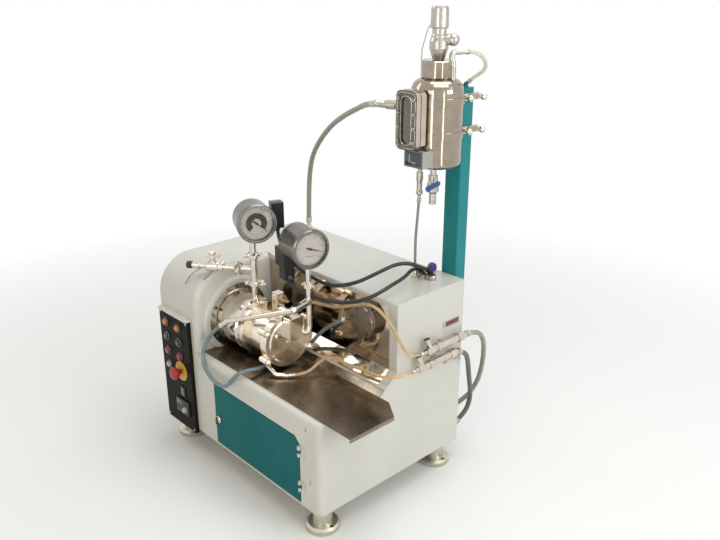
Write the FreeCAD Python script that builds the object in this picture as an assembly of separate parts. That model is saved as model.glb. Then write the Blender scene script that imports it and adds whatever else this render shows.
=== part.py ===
import FreeCAD, Part
import os
from math import acos, asin, atan2, cos, degrees, hypot, pi, radians, sin, sqrt, tan

# Horizontal laboratory bead mill on a sheet metal cabinet, with its seal tank on a column.
# Millimetres. +Z is up, the door side faces -Y and the mill's end cover faces +X.
# The origin lies on the floor under the middle of the cabinet.

V = FreeCAD.Vector
along_x = V(1, 0, 0)
along_y = V(0, 1, 0)
up = V(0, 0, 1)

# Cabinet
cabinet_length = 710.0
cabinet_width = 520.0
cabinet_height = 500.0
tower_depth = 187.0
alcove_depth = 264.0
sheet = 2.0
corner_radius = 18.0
corner_wrap = 42.0
strip_slots = ((50.0, 36.0), (38.0, 182.0))
tower_edge_radius = 105.0
tower_nose_radius = 18.0
slant_rise = 47.0
slant_run = 59.0
pan_lip = 6.0

# Levelling feet
foot_height = 72.0
foot_inset = 45.0
pad_radius = 45.0
pad_thickness = 18.0
foot_stem_radius = 26.0
anchor_offset = 35.5
anchor_hole_radius = 4.5

# Alcove lining and drip tray
liner_sheet = 1.2
liner_end_margin = 27.0
liner_top_margin = 14.0
tray_sheet = 1.5
tray_front_margin = 18.0
tray_overhang = 91.0
tray_corner_run = 56.0
tray_corner_rise = 39.0
tray_upstand = 12.5
tray_lip = 9.0

# Service door
door_left_margin = 258.0
door_width = 374.0
door_bottom_margin = 8.0
door_height = 187.0
door_gap = 3.0
door_chamfer = 18.0
door_return = 14.0
hinge_knuckle_radius = 4.0
hinge_pin_radius = 2.0
hinge_length = 30.0
hinge_leaf_width = 17.0
hinge_heights = (36.0, 139.0)
latch_inset = 16.0
latch_height = 80.0
latch_knob_radius = 11.0
latch_shaft_radius = 4.0
cam_reach = 30.0

# Control panel
panel_width = 156.0
panel_top_margin = 150.0
panel_height = 360.0
panel_depth = 11.0
panel_left_column = 39.0
panel_right_column = 103.0
panel_first_row = 33.0
panel_row_pitch = 46.0
button_hole_radius = 11.2
button_radius = 9.5
button_travel = 4.0
estop_radius = 20.0
estop_travel = 5.0
estop_plate_radius = 30.0
knob_radius = 9.0

# Mill axis and spindle
spindle_front_offset = 136.0
spindle_top_margin = 154.0
spindle_over_ledge = 83.0
running_gap = 0.3
cord_gap = 0.3
fit_gap = 0.05
shaft_radius = 14.0
bearing_bore_radius = 17.5
bearing_outer_radius = 36.0
bearing_width = 17.0
bearing_land = 5.0
ball_count = 10
seal_shaft_radius = 20.0
cartridge_radius = 62.0
cartridge_length = 107.0
bearing_flange_radius = 96.5
bearing_flange_thickness = 12.0
ring_outer_radius = 116.0
ring_height = 12.0

# Drive
motor_height = 104.0
motor_barrel_radius = 70.0
motor_fin_height = 8.0
motor_fin_count = 28
motor_length = 205.0
motor_shaft_radius = 12.0
motor_hood_length = 40.0
motor_foot_drop = 52.0
motor_pulley_radius = 56.0
spindle_pulley_radius = 45.0
pulley_width = 36.0
belt_width = 24.0
belt_thickness = 4.0
pulley_far_gap = 18.0
rail_thickness = 12.0

# Grinding chamber, measured from the tower face along the spindle
separator_radius = 77.0
separator_length = 94.0
neck_length = 8.0
neck_radius = 68.0
chamber_flange_radius = 78.0
chamber_flange_thickness = 12.0
barrel_radius = 61.0
barrel_wall = 4.0
barrel_length = 78.0
cover_radius = 75.0
cover_thickness = 12.0
liner_bore_radius = 40.0
liner_wall = 6.0
screen_radius = 30.0
screen_wall = 2.5
screen_slot_count = 24
disc_radius = 35.0
disc_thickness = 6.0
disc_count = 4
disc_pitch = 22.0
ear_circle_radius = 82.0
ear_radius = 9.5
ear_bolt_radius = 4.0
ear_count = 6

# Product pipework
pipe_radius = 9.5
pipe_wall = 1.5
ferrule_radius = 13.5
clamp_radius = 18.0
clamp_height = 13.0
outlet_stem_offset = 86.0
outlet_bore_radius = 5.5
outlet_tee_rise = 88.0
outlet_gauge_rise = 149.0
ferrule_spacing = 40.0
branch_angle = 36.0
branch_length = 190.0
valve_distance = 118.0
feed_tube_radius = 7.0
inlet_x_offset = 38.0
inlet_y_offset = 44.0
inlet_block_top = 72.0
inlet_elbow_rise = 40.0
inlet_gauge_rise = 151.0

# Pressure gauges
gauge_radius = 50.0
bezel_radius = 53.0
bezel_depth = 14.0
outlet_gauge_depth = 82.0
outlet_gauge_stem_inset = 11.0
inlet_gauge_depth = 98.0
inlet_gauge_stem_inset = 74.0
outlet_gauge_turn = 23.0
inlet_gauge_turn = 12.0
glass_thickness = 2.5
dial_depth = 9.0

# Feed pump head on the alcove wall
pump_end_margin = 107.0
pump_height = 430.0
pump_radius = 48.0
pump_depth = 26.0
pump_spigot_radius = 20.0

# Column and seal tank
column_end_margin = 57.0
column_width = 52.0
column_depth = 40.0
column_wall = 3.0
column_overlap = 322.0
tank_radius = 65.0
tank_wall = 3.0
tank_back_gap = 9.0
tank_rise = 312.0
tank_wall_height = 188.0
shoulder_rise = 31.0
lid_radius = 41.0
lid_height = 42.0
sight_width = 68.0
sight_height = 142.0
sight_depth = 34.0
sight_standoff = 40.0
sight_rise = 126.0
sight_window_width = 24.0
sight_corner_radius = 16.0
clamp_rises = (84.0, 166.0)
display_rise = 12.0
drain_valve_drop = 58.0
supply_rise = 145.0

# Water pipes on the near end
water_pipe_radius = 10.0
water_pipe_standoff = 22.0
lower_water_height = 380.0
upper_water_height = 420.0
lower_water_start = 48.0
upper_water_start = 78.0
water_pipe_length = 170.0

# Glands, hose fittings and regulator
gland_thread_radius = 8.0
gland_base = 12.0
cord_gland_radius = 4.0
hose_fitting_hole = 7.0
rear_fitting_hole = 10.0
regulator_stem_radius = 5.0

# Hoses and cables: diameter and path
cord_paths = {
    "tank_supply_hose": (15.0, [
        (-272, 240, 594), (-270, 240, 651), (-266, 239, 708), (-256, 236, 765), (-235, 231, 818),
        (-199, 225, 862), (-157, 217, 900), (-111, 206, 932), (-61, 195, 959), (-10, 182, 982),
        (41, 166, 1001), (91, 145, 1019), (144, 124, 1029)]),
    "tank_return_hose": (7.0, [
        (250, 186, 790), (248, 186, 762), (247, 185, 734), (246, 183, 706), (246, 181, 678),
        (247, 180, 650), (249, 178, 622), (252, 176, 594)]),
    "clear_hose": (10.0, [
        (352, 226, 1164), (360, 240, 1163), (368, 253, 1159), (373, 265, 1150), (373, 276, 1138),
        (368, 284, 1126), (357, 288, 1114), (344, 286, 1105), (331, 283, 1096), (319, 280, 1086)]),
    "gauge_cable_front": (10.0, [
        (27, -84, 562), (48, -70, 540), (74, -55, 531), (108, -52, 531), (142, -53, 536),
        (175, -57, 543), (208, -58, 551), (241, -55, 561), (272, -47, 573), (296, -28, 586),
        (306, 2, 597), (307, 36, 605), (301, 69, 606), (289, 101, 605), (279, 133, 612),
        (271, 165, 604)]),
    "gauge_cable_rear": (10.0, [
        (-40, -60, 684), (-39, -55, 650), (-28, -46, 618), (-4, -39, 595), (29, -36, 584),
        (63, -38, 579), (97, -38, 575), (132, -38, 574), (166, -31, 577), (196, -17, 586),
        (224, -1, 599), (244, 23, 614), (257, 53, 626), (265, 85, 634), (277, 118, 633),
        (287, 148, 620), (292, 178, 603)]),
    "product_hose": (11.0, [
        (-90, -222, 440.5), (-119, -230, 416), (-139, -240, 390), (-144, -254, 364),
        (-139, -264, 338), (-123, -271, 314), (-98, -273, 299), (-70, -275, 291), (-41, -275, 290),
        (-13, -274, 299), (6, -270, 321), (21, -259, 344), (36, -237, 353), (42, -209, 350),
        (38, -180, 347), (34, -150, 347), (33, -121, 346), (35, -92, 347), (40, -63, 349),
        (52, -41, 364), (68, -31, 386), (87, -28, 409), (108, -27, 430), (130, -23, 448),
        (154, -17, 465), (178, -10, 480)]),
    "lower_water_tube": (8.0, [
        (125, -155, 344), (144, -132, 346), (145, -101, 352), (143, -72, 363), (157, -49, 372),
        (188, -45, 374), (219, -46, 374), (250, -42, 375), (281, -39, 376), (312, -37, 377),
        (342, -32, 378), (366, -12, 379), (375, 17, 380), (377, 48, 380)]),
    "upper_water_tube": (8.0, [
        (377, 78, 420), (377, 46, 422), (375, 19, 440), (372, 3, 467), (366, -9, 497),
        (352, -17, 525), (334, -26, 550), (307, -32, 565), (275, -34, 562), (246, -33, 548),
        (216, -29, 536), (187, -25, 522), (157, -21, 510), (126, -19, 502), (93, -20, 498),
        (62, -25, 496), (35, -41, 490), (20, -66, 476)]),
    "water_hose_outer": (14.0, [
        (377, 248, 420), (375, 306, 412), (368, 345, 368), (357, 364, 312), (345, 373, 253),
        (330, 371, 195), (309, 342, 147), (288, 290, 128)]),
    "water_hose_inner": (14.0, [
        (377, 218, 380), (376, 256, 362), (370, 276, 324), (361, 293, 283), (353, 309, 243),
        (346, 326, 203), (339, 334, 160), (330, 325, 119), (322, 290, 96)]),
}

# Places worked out from the sizes above
x_far = -cabinet_length / 2
x_near = cabinet_length / 2
y_front = -cabinet_width / 2
y_back = cabinet_width / 2
z_bottom = foot_height
z_top = z_bottom + cabinet_height
axis_z = z_top - spindle_top_margin
z_base = axis_z - spindle_over_ledge
tower_front = x_far + tower_depth
wall_y = y_front + alcove_depth
bend_z = z_base + slant_rise
slant_y = wall_y - slant_run
axis_y = y_front + spindle_front_offset
tray_z = z_base
tray_top = tray_z + tray_sheet
flat_cut_z = tray_top + 1.5
outlet_tee_height = axis_z + separator_radius + outlet_tee_rise
outlet_gauge_height = outlet_tee_height + outlet_gauge_rise
inlet_elbow_height = axis_z + inlet_block_top + inlet_elbow_rise
inlet_gauge_height = inlet_elbow_height + inlet_gauge_rise
pump_x = x_near - pump_end_margin
column_x = x_near - column_end_margin
column_bottom = z_top - column_overlap
tank_bottom = z_top + tank_rise
tank_shoulder = tank_bottom + tank_wall_height
neck_bottom = tank_shoulder + shoulder_rise
column_top = tank_shoulder
sight_centre_height = tank_bottom + sight_rise
clamp_heights = [tank_bottom + rise for rise in clamp_rises]
display_z0 = tank_bottom + display_rise
drain_valve_z = tank_bottom - drain_valve_drop
supply_height = tank_bottom + supply_rise


def box(x0, x1, y0, y1, z0, z1):
    return Part.makeBox(x1 - x0, y1 - y0, z1 - z0, V(x0, y0, z0))


def rod(start, direction, radius, length):
    return Part.makeCylinder(radius, length, V(*start), V(*direction))


def tube(start, direction, outer, inner, length):
    return rod(start, direction, outer, length).cut(rod(start, direction, inner, length))


def join(pieces):
    whole = pieces[0]
    for piece in pieces[1:]:
        whole = whole.fuse(piece)
    return whole.removeSplitter()


def outline_face(points):
    corners = [V(*point) for point in points]
    return Part.Face(Part.makePolygon(corners + [corners[0]]))


def plate_yz(points, x0, x1):
    """Prism along X from an outline of (y, z) points."""
    return outline_face([(x0, y, z) for y, z in points]).extrude(V(x1 - x0, 0, 0))


def plate_xy(points, z0, z1):
    return outline_face([(x, y, z0) for x, y in points]).extrude(V(0, 0, z1 - z0))


def plate_xz(points, y0, y1):
    return outline_face([(x, y0, z) for x, z in points]).extrude(V(0, y1 - y0, 0))


def turned(profile, start, direction):
    """Solid of revolution from (distance, radius) points about the line from start."""
    face = outline_face([(radius, 0, distance) for distance, radius in profile])
    solid = face.revolve(V(0, 0, 0), up, 360)
    solid = Part.Solid(solid.Shells[0]) if solid.ShapeType != "Solid" else solid
    solid.Placement = FreeCAD.Placement(V(*start), FreeCAD.Rotation(up, V(*direction)))
    return solid


def rounded(solid, radius, wanted):
    """Fillet the edges for which wanted(edge) is true."""
    return solid.makeFillet(radius, [edge for edge in solid.Edges if wanted(edge)])


def edge_box(edge):
    return edge.BoundBox


def runs_along(edge, axis):
    size = edge_box(edge)
    lengths = (size.XLength, size.YLength, size.ZLength)
    return lengths[axis] > 0.5 and sum(lengths) - lengths[axis] < 0.001


def at_place(solid, place, turn=0.0):
    """Copy of a solid made round the origin, turned about Z and set at a place."""
    moved = solid.copy()
    moved.Placement = FreeCAD.Placement(V(*place), FreeCAD.Rotation(up, turn))
    return moved


def ring_points(centre_y, centre_z, radius, count, first=0.0):
    """Places spaced evenly round the spindle line, as (y, z, angle in degrees)."""
    places = []
    for step in range(count):
        angle = first + 360.0 * step / count
        places.append((centre_y + radius * cos(radians(angle)),
                       centre_z + radius * sin(radians(angle)), angle))
    return places


def folded_sheet(points, thickness, x0, x1):
    """Sheet bent along a (y, z) line, its thickness on the left of the line's direction."""
    offset = []
    for i, (y, z) in enumerate(points):
        normals = []
        for a, b in ((i - 1, i), (i, i + 1)):
            if 0 <= a and b < len(points):
                dy = points[b][0] - points[a][0]
                dz = points[b][1] - points[a][1]
                run = hypot(dy, dz)
                normals.append((-dz / run, dy / run))
        ny = sum(n[0] for n in normals) / len(normals)
        nz = sum(n[1] for n in normals) / len(normals)
        scale = thickness / (ny * ny + nz * nz)
        offset.append((y + ny * scale, z + nz * scale))
    return plate_yz(list(points) + offset[::-1], x0, x1)


def hose_tail(name, last, radius, length):
    """Straight spigot at one end of a hose's path."""
    points = cord_paths[name][1]
    tip = V(*points[-1 if last else 0])
    inner = V(*points[-2 if last else 1])
    way = (tip - inner).normalize()
    return rod(tip + way * cord_gap, way, radius, length)


def hose_port(port, name, last, radius, tail):
    """Spigot in line with a hose's end, led from a port inside the piece that carries it."""
    points = cord_paths[name][1]
    tip = V(*points[-1 if last else 0])
    inner = V(*points[-2 if last else 1])
    way = (tip - inner).normalize()
    mouth = tip + way * cord_gap
    reach = tail + radius
    knee = mouth + way * reach
    lead = V(*port) - knee
    return join([rod(mouth, way, radius, reach), Part.makeSphere(radius, knee),
                 rod(knee, lead, radius, lead.Length)])


def save(name, solids):
    if not isinstance(solids, (list, tuple)):
        solids = [solids]
    flat = []
    for item in solids:
        flat.extend(item.Solids)
    shape = flat[0] if len(flat) == 1 else Part.makeCompound(flat)
    shape.exportStep("parts/" + name + ".step")


# Levelling feet: a round floor pad and a stub each

def levelling_feet():
    solids = []
    for side_x in (-1, 1):
        for side_y in (-1, 1):
            x = side_x * (cabinet_length / 2 - foot_inset)
            y = side_y * (cabinet_width / 2 - foot_inset)
            pad = turned([(0, 0), (0, pad_radius - 2), (2, pad_radius), (pad_thickness - 5, pad_radius),
                          (pad_thickness, pad_radius - 6), (pad_thickness, 0)], (x, y, 0), up)
            for way in (-1, 1):
                pad = pad.cut(rod((x + way * anchor_offset, y, -1), up, anchor_hole_radius,
                                  pad_thickness + 2))
            stem = turned([(pad_thickness, 0), (pad_thickness, foot_stem_radius),
                           (foot_height - 6, foot_stem_radius), (foot_height - 4, foot_stem_radius + 3),
                           (foot_height, foot_stem_radius + 3), (foot_height, 0)], (x, y, 0), up)
            solids += [pad, stem]
    return solids


# Cabinet sheets

def base_pan():
    def block(inset, z0, z1):
        solid = box(x_far + sheet + inset, x_near - sheet - inset,
                    y_front + sheet + inset, y_back - sheet - inset, z0, z1)
        return rounded(solid, corner_radius - sheet - inset, lambda e: runs_along(e, 2))
    return block(0, z_bottom, z_bottom + pan_lip).cut(block(sheet, z_bottom + sheet, z_bottom + pan_lip + 1))


door_x0 = x_far + door_left_margin
door_x1 = door_x0 + door_width
door_z0 = z_bottom + door_bottom_margin
door_z1 = door_z0 + door_height


def door_outline(grow):
    x0 = door_x0 - grow
    x1 = door_x1 + grow
    z0 = door_z0 - grow
    z1 = door_z1 + grow
    cut = door_chamfer
    return [(x0, z0), (x1, z0), (x1, z1 - cut), (x1 - cut, z1), (x0, z1)]


def base_block(inset):
    solid = box(tower_front - (inset > 0), x_near - inset, y_front + inset, y_back,
                z_bottom - (inset > 0), z_base - inset)

    def outer_edge(edge):
        size = edge_box(edge)
        front = abs(size.YMax - (y_front + inset)) < 0.01
        near_upright = front and runs_along(edge, 2) and abs(size.XMin - (x_near - inset)) < 0.01
        top_front = front and runs_along(edge, 0) and abs(size.ZMin - (z_base - inset)) < 0.01
        return near_upright or top_front
    return rounded(solid, corner_radius - inset, outer_edge)


def front_panel():
    skin = base_block(0).cut(base_block(sheet))
    wrap = skin.common(box(tower_front, x_near + 1, y_front - 1, y_front + corner_wrap,
                           z_bottom, z_base + 1))
    opening = plate_xz(door_outline(door_gap), y_front - 1, y_front + sheet + 1)
    panel = wrap.cut(opening)
    for end_margin, drop in strip_slots:
        x = x_near - end_margin
        panel = panel.cut(box(x, x + 3, y_front - 1, y_front + sheet + 1, z_base - drop, z_base - drop + 12))
    return panel


def end_panel():
    back_start = y_front + corner_wrap
    outline = [(back_start, z_bottom), (y_back, z_bottom), (y_back, z_top), (wall_y, z_top),
               (wall_y, bend_z), (slant_y, z_base), (back_start, z_base)]
    plate = plate_yz(outline, x_near - sheet, x_near)

    def top_corner(edge):
        size = edge_box(edge)
        return runs_along(edge, 0) and abs(size.ZMin - z_top) < 0.01 and abs(size.YMin - wall_y) < 0.01
    return rounded(plate, 5.0, top_corner)


rear_fitting_places = ((x_near - 67.0, z_bottom + 56.0), (x_near - 33.0, z_bottom + 24.0))
gland_place = (-250.0, 120.0)


def rear_panel():
    panel = box(x_far + sheet, x_near - sheet, y_back - sheet, y_back, z_bottom, z_top - sheet)
    for column in range(2):
        for row in range(8):
            x = -190 + column * 110
            z = z_bottom + 60 + row * 18
            panel = panel.cut(box(x, x + 80, y_back - sheet - 1, y_back + 1, z, z + 5))
    for x, z in rear_fitting_places:
        panel = panel.cut(rod((x, y_back - sheet - 1, z), along_y, rear_fitting_hole, sheet + 2))
    x, z = gland_place
    return panel.cut(rod((x, y_back - sheet - 1, z), along_y, gland_thread_radius, sheet + 2))


def tower_profile(inset):
    """Outline of the tower in the YZ plane, flat at the back, rounded at the top front."""
    radius = tower_edge_radius - inset
    y0 = y_front + inset
    z1 = z_top - inset
    y1 = y_back - sheet + (1 if inset else 0)
    z0 = z_base - (5 if inset else 0)
    a = V(0, y0, z1 - radius)
    b = V(0, y0 + radius, z1)
    middle = V(0, y0 + radius - radius * cos(radians(45)), z1 - radius + radius * sin(radians(45)))
    return Part.Wire([Part.makeLine(V(0, y0, z0), a), Part.Arc(a, middle, b).toShape(),
                      Part.makeLine(b, V(0, y1, z1)), Part.makeLine(V(0, y1, z1), V(0, y1, z0)),
                      Part.makeLine(V(0, y1, z0), V(0, y0, z0))])


def tower_block(inset):
    x0 = x_far + sheet - (1 if inset else 0)
    x1 = tower_front - inset
    face = Part.Face(tower_profile(inset))
    face.translate(V(x0, 0, 0))
    block = face.extrude(V(x1 - x0, 0, 0))

    def front_edge(edge):
        size = edge_box(edge)
        on_face = abs(size.XMin - x1) < 0.01 and abs(size.XMax - x1) < 0.01
        return on_face and size.YMin < y_back - 3 * sheet and size.ZMax > z_base + 1
    return rounded(block, tower_nose_radius - inset, front_edge)


tower_top_fitting = (-104.0, -20.0)


def tower_hood():
    shell = tower_block(0).cut(tower_block(sheet))
    flat_top = box(tower_front - tower_nose_radius - 1, tower_front, wall_y, y_back - sheet,
                   z_top - tower_nose_radius - 1, z_top)
    flat_top = flat_top.cut(box(tower_front - tower_nose_radius - 2, tower_front - sheet, wall_y - 1, y_back,
                                z_top - tower_nose_radius - 2, z_top - sheet))
    lower_side = box(x_far + sheet, tower_front, y_front, y_front + sheet, z_bottom, z_base)
    lip_x1 = x_far + panel_width
    lip_z = z_top - panel_top_margin
    lip = plate_yz([(y_front, lip_z), (y_front - panel_depth - 5, lip_z),
                    (y_front - panel_depth - 5, lip_z + 2), (y_front, lip_z + 8)], x_far + sheet, lip_x1)
    hood = join([shell, flat_top, lower_side, lip])
    raised = turned([(-0.5, bearing_flange_radius + 0.5), (-0.5, ring_outer_radius),
                     (ring_height - 4, ring_outer_radius - 3), (ring_height, ring_outer_radius - 8),
                     (ring_height, bearing_flange_radius + 0.5)], (tower_front, axis_y, axis_z), along_x)
    hood = hood.fuse(raised)
    hood = hood.cut(rod((tower_front - 30, axis_y, axis_z), along_x, cartridge_radius + 3, 60))
    hood = hood.cut(box(tower_front, tower_front + ring_height + 1, y_front, wall_y, z_bottom, flat_cut_z))
    fit_x = tower_front + tower_top_fitting[0]
    fit_y = y_back + tower_top_fitting[1]
    return hood.cut(rod((fit_x, fit_y, z_top - 5), up, hose_fitting_hole, 10)).removeSplitter()


def tower_end_cover():
    wire = tower_profile(0)
    face = Part.Face(wire)
    face.translate(V(x_far, 0, 0))
    upper = face.extrude(V(sheet, 0, 0))
    lower = box(x_far, x_far + sheet, y_front, y_back - sheet, z_bottom, z_base)
    cover = join([upper, lower])
    for row in range(7):
        z = z_bottom + 70 + row * 16
        cover = cover.cut(box(x_far - 1, x_far + sheet + 1, -70, 70, z, z + 5))
    return cover


top_gland_places = ((x_near - 82.0, y_back - 76.0), (x_near - 56.0, y_back - 68.0))
top_hose_place = (x_near - 103.0, y_back - 84.0)
regulator_place = (x_near - 103.0, y_back - 15.0)


def rear_box_cover():
    line = [(slant_y, z_base), (wall_y, bend_z), (wall_y, z_top), (y_back - sheet, z_top)]
    cover = folded_sheet([(y, z) for y, z in line[::-1]], sheet, tower_front, x_near - sheet)

    def top_fold(edge):
        size = edge_box(edge)
        return runs_along(edge, 0) and abs(size.ZMin - z_top) < 0.01 and abs(size.YMin - wall_y) < 0.01
    cover = rounded(cover, 5.0, top_fold)
    for x, y in top_gland_places:
        cover = cover.cut(rod((x, y, z_top - 5), up, gland_thread_radius, 10))
    cover = cover.cut(rod((*top_hose_place, z_top - 5), up, hose_fitting_hole, 10))
    cover = cover.cut(rod((*regulator_place, z_top - 5), up, regulator_stem_radius + fit_gap, 10))
    cover = cover.cut(ring_clearance())
    pump_z = z_bottom + pump_height
    return cover.cut(rod((pump_x, wall_y - 1, pump_z), along_y, pump_spigot_radius + fit_gap, sheet + 2))


def slant_point(z):
    return wall_y - slant_run * (bend_z - z) / slant_rise


def ring_clearance():
    """Room that the lining sheets and the tray leave round the raised ring of the tower."""
    return rod((tower_front - 1, axis_y, axis_z), along_x, ring_outer_radius + running_gap,
               ring_height + 1 + running_gap)


def alcove_liner():
    low_z = tray_top + tray_upstand + 3
    line = [(wall_y, z_top - liner_top_margin), (wall_y, bend_z), (slant_point(low_z), low_z)]
    liner = folded_sheet(line[::-1], liner_sheet, tower_front, x_near - liner_end_margin)
    liner = liner.cut(ring_clearance())
    pump_z = z_bottom + pump_height
    return liner.cut(rod((pump_x, wall_y - 5, pump_z), along_y, pump_spigot_radius + fit_gap, 10))


def drip_tray():
    y0 = y_front + tray_front_margin
    y1 = slant_point(tray_z) - 3
    x1 = x_near + tray_overhang
    flat = plate_xy([(tower_front, y0), (x1, y0), (x1, y1 - tray_corner_rise),
                     (x1 - tray_corner_run, y1), (tower_front, y1)], tray_z, tray_top)
    slope = slant_run / slant_rise
    rise = tray_upstand
    upstand = plate_yz([(y1, tray_z), (y1, tray_top), (y1 + rise * slope, tray_top + rise),
                        (y1 + rise * slope + 1.8, tray_top + rise), (y1 + 1.8, tray_z)],
                       tower_front, x_near)
    end_lip = box(x1 - tray_sheet, x1, y0, y1 - tray_corner_rise, tray_z - tray_lip, tray_top)
    return join([flat, upstand, end_lip]).cut(ring_clearance())


# Service door, its hinges and latch

hinge_x = door_x1 + door_gap + 1.0
hinge_y = y_front - hinge_knuckle_radius
latch_x = door_x0 + latch_inset
latch_z = door_z0 + latch_height


def hinge_knuckle(z0, z1):
    return tube((hinge_x, hinge_y, z0), up, hinge_knuckle_radius, hinge_pin_radius + fit_gap, z1 - z0)


def hinge_leaf(side, z0, z1):
    """Leaf plate on the sheet, with a web up to the knuckle."""
    x_edge = hinge_x + side * hinge_leaf_width
    low = min(x_edge, hinge_x)
    high = max(x_edge, hinge_x)
    leaf = box(low, high, y_front - 1.6, y_front, z0, z1)
    return leaf.cut(rod((hinge_x, hinge_y, z0 - 1), up, hinge_pin_radius + 1, z1 - z0 + 2))


def service_door():
    outer = plate_xz(door_outline(0), y_front, y_front + door_return)
    x0 = door_x0 + sheet
    x1 = door_x1 - sheet
    z0 = door_z0 + sheet
    z1 = door_z1 - sheet
    cut = door_chamfer
    inner = plate_xz([(x0, z0), (x1, z0), (x1, z1 - cut), (x1 - cut, z1), (x0, z1)],
                     y_front + sheet, y_front + door_return + 1)
    door = outer.cut(inner)
    door = door.cut(rod((latch_x, y_front - 1, latch_z), along_y, latch_shaft_radius + fit_gap, sheet + 2))
    door = door.cut(box(door_x0 - 1, door_x0 + sheet + 1, y_front + sheet, y_front + sheet + 7,
                        latch_z - cam_reach - 2, latch_z + 12))
    solids = [door]
    for height in hinge_heights:
        z0 = door_z0 + height
        third = hinge_length / 3
        knuckle = hinge_knuckle(z0 + third + running_gap, z0 + 2 * third - running_gap)
        leaf = hinge_leaf(-1, z0 + third + running_gap, z0 + 2 * third - running_gap)
        solids.append(join([knuckle, leaf]))
    return solids


def door_hinges():
    solids = []
    for height in hinge_heights:
        z0 = door_z0 + height
        third = hinge_length / 3
        pieces = []
        for start in (z0, z0 + 2 * third):
            pieces.append(hinge_knuckle(start, start + third))
            pieces.append(hinge_leaf(1, start, start + third))
        pieces.append(box(hinge_x + hinge_knuckle_radius + running_gap + 1, hinge_x + hinge_leaf_width,
                          y_front - 1.6, y_front, z0, z0 + hinge_length))
        solids.append(join(pieces))
        solids.append(rod((hinge_x, hinge_y, z0), up, hinge_pin_radius, hinge_length))
    return solids


def door_latch():
    knob = turned([(0.3, 0), (0.3, latch_knob_radius), (4, latch_knob_radius), (6, latch_knob_radius - 2),
                   (6, 0)], (latch_x, y_front, latch_z), V(0, -1, 0))
    grip = box(latch_x - 3, latch_x + 3, y_front - 16, y_front - 6, latch_z - 10, latch_z + 10)
    shaft = rod((latch_x, y_front - 0.5, latch_z), along_y, latch_shaft_radius, sheet + 5.5)
    cam = box(latch_x - 7, latch_x + 7, y_front + sheet + 1.5, y_front + sheet + 4,
              latch_z - cam_reach, latch_z + 7)
    return join([knob, grip, shaft, cam])


# Control panel

panel_x0 = x_far + sheet
panel_x1 = x_far + panel_width
panel_z1 = z_top - panel_top_margin
panel_z0 = panel_z1 - panel_height
panel_face = y_front - panel_depth
left_column = x_far + panel_left_column
right_column = x_far + panel_right_column
rows = [panel_z1 - panel_first_row - panel_row_pitch * row for row in range(4)]
estop_bore = 7.0
keypad_z = panel_z0 + 71.0
display_z = panel_z0 + 120.0
speed_knob_x = x_far + 118.0
speed_knob_z = keypad_z - 4.0


def control_panel():
    outer = box(panel_x0, panel_x1, panel_face, y_front, panel_z0, panel_z1)
    inner = box(panel_x0 + sheet, panel_x1 - sheet, panel_face + sheet, y_front + 1,
                panel_z0 + sheet, panel_z1 - sheet)
    panel = rounded(outer, 1.5, lambda e: runs_along(e, 2) and edge_box(e).YMax < panel_face + 1)
    panel = panel.cut(inner)
    for row in (1, 2):
        panel = panel.cut(rod((right_column, panel_face - 1, rows[row]), along_y, button_hole_radius, 6))
    panel = panel.cut(rod((right_column, panel_face - 1, rows[3]), along_y, estop_bore + running_gap, 6))
    return panel


def bezel(x, z, outer, inner, height):
    return turned([(0, inner), (0, outer), (height - 1, outer), (height, outer - 1), (height, inner)],
                  (x, panel_face, z), V(0, -1, 0))


def lamp(x, z):
    dome = turned([(0, 0), (0, button_radius), (7, button_radius), (9, button_radius - 2),
                   (10, 0)], (x, panel_face, z), V(0, -1, 0))
    return dome


def panel_fittings():
    solids = []
    for x in (left_column, right_column):
        for row in range(3):
            solids.append(bezel(x, rows[row], button_hole_radius + 2.5, button_radius + 0.8, 4))
    solids.append(bezel(left_column, rows[3], button_hole_radius + 2.5, button_radius + 0.8, 4))
    for row in range(4):
        solids.append(lamp(left_column, rows[row]))
    solids.append(lamp(right_column, rows[0]))
    solids.append(bezel(right_column, rows[3], estop_plate_radius, estop_bore + running_gap, 2.5))
    solids.append(box(right_column - 11, right_column + 11, panel_face - 3, panel_face,
                      display_z - 16, display_z + 16))
    keypad = box(right_column - 36, right_column + 32, panel_face - 7, panel_face,
                 keypad_z - 24, keypad_z + 22)
    keypad = rounded(keypad, 3.0, lambda e: runs_along(e, 1))
    keypad = keypad.cut(rod((speed_knob_x, panel_face - 8, speed_knob_z), along_y, 3 + fit_gap, 6))
    solids.append(keypad)
    return solids


def push_button(row):
    """Cap that sinks into its bezel, with a collar behind the face plate."""
    return turned([(-sheet - 1.5, 0), (-sheet - 1.5, button_hole_radius - 1.2),
                   (-sheet - 0.5, button_hole_radius - 1.2), (-sheet - 0.5, button_radius),
                   (7, button_radius), (8, button_radius - 1), (8, 0)],
                  (right_column, panel_face, rows[row]), V(0, -1, 0))


def estop_button():
    return turned([(-3.5, 0), (-3.5, estop_bore), (10, estop_bore), (12, estop_radius * 0.62),
                   (17, estop_radius * 0.7), (20, estop_radius), (26, estop_radius),
                   (31, estop_radius * 0.86), (33, estop_radius * 0.5), (33.6, 0)],
                  (right_column, panel_face, rows[3]), V(0, -1, 0))


def speed_knob():
    face = panel_face - 7
    body = turned([(running_gap, 0), (running_gap, knob_radius), (8, knob_radius - 1), (9, knob_radius - 2),
                   (9, 0)], (speed_knob_x, face, speed_knob_z), V(0, -1, 0))
    stem = rod((speed_knob_x, face - 1, speed_knob_z), along_y, 3.0, 4.0)
    mark = box(speed_knob_x - 0.8, speed_knob_x + 0.8, face - 9.6, face - 8, speed_knob_z + 1,
               speed_knob_z + knob_radius - 2)
    return join([body, stem, mark])


# Drive: motor, belt and pulleys

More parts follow.
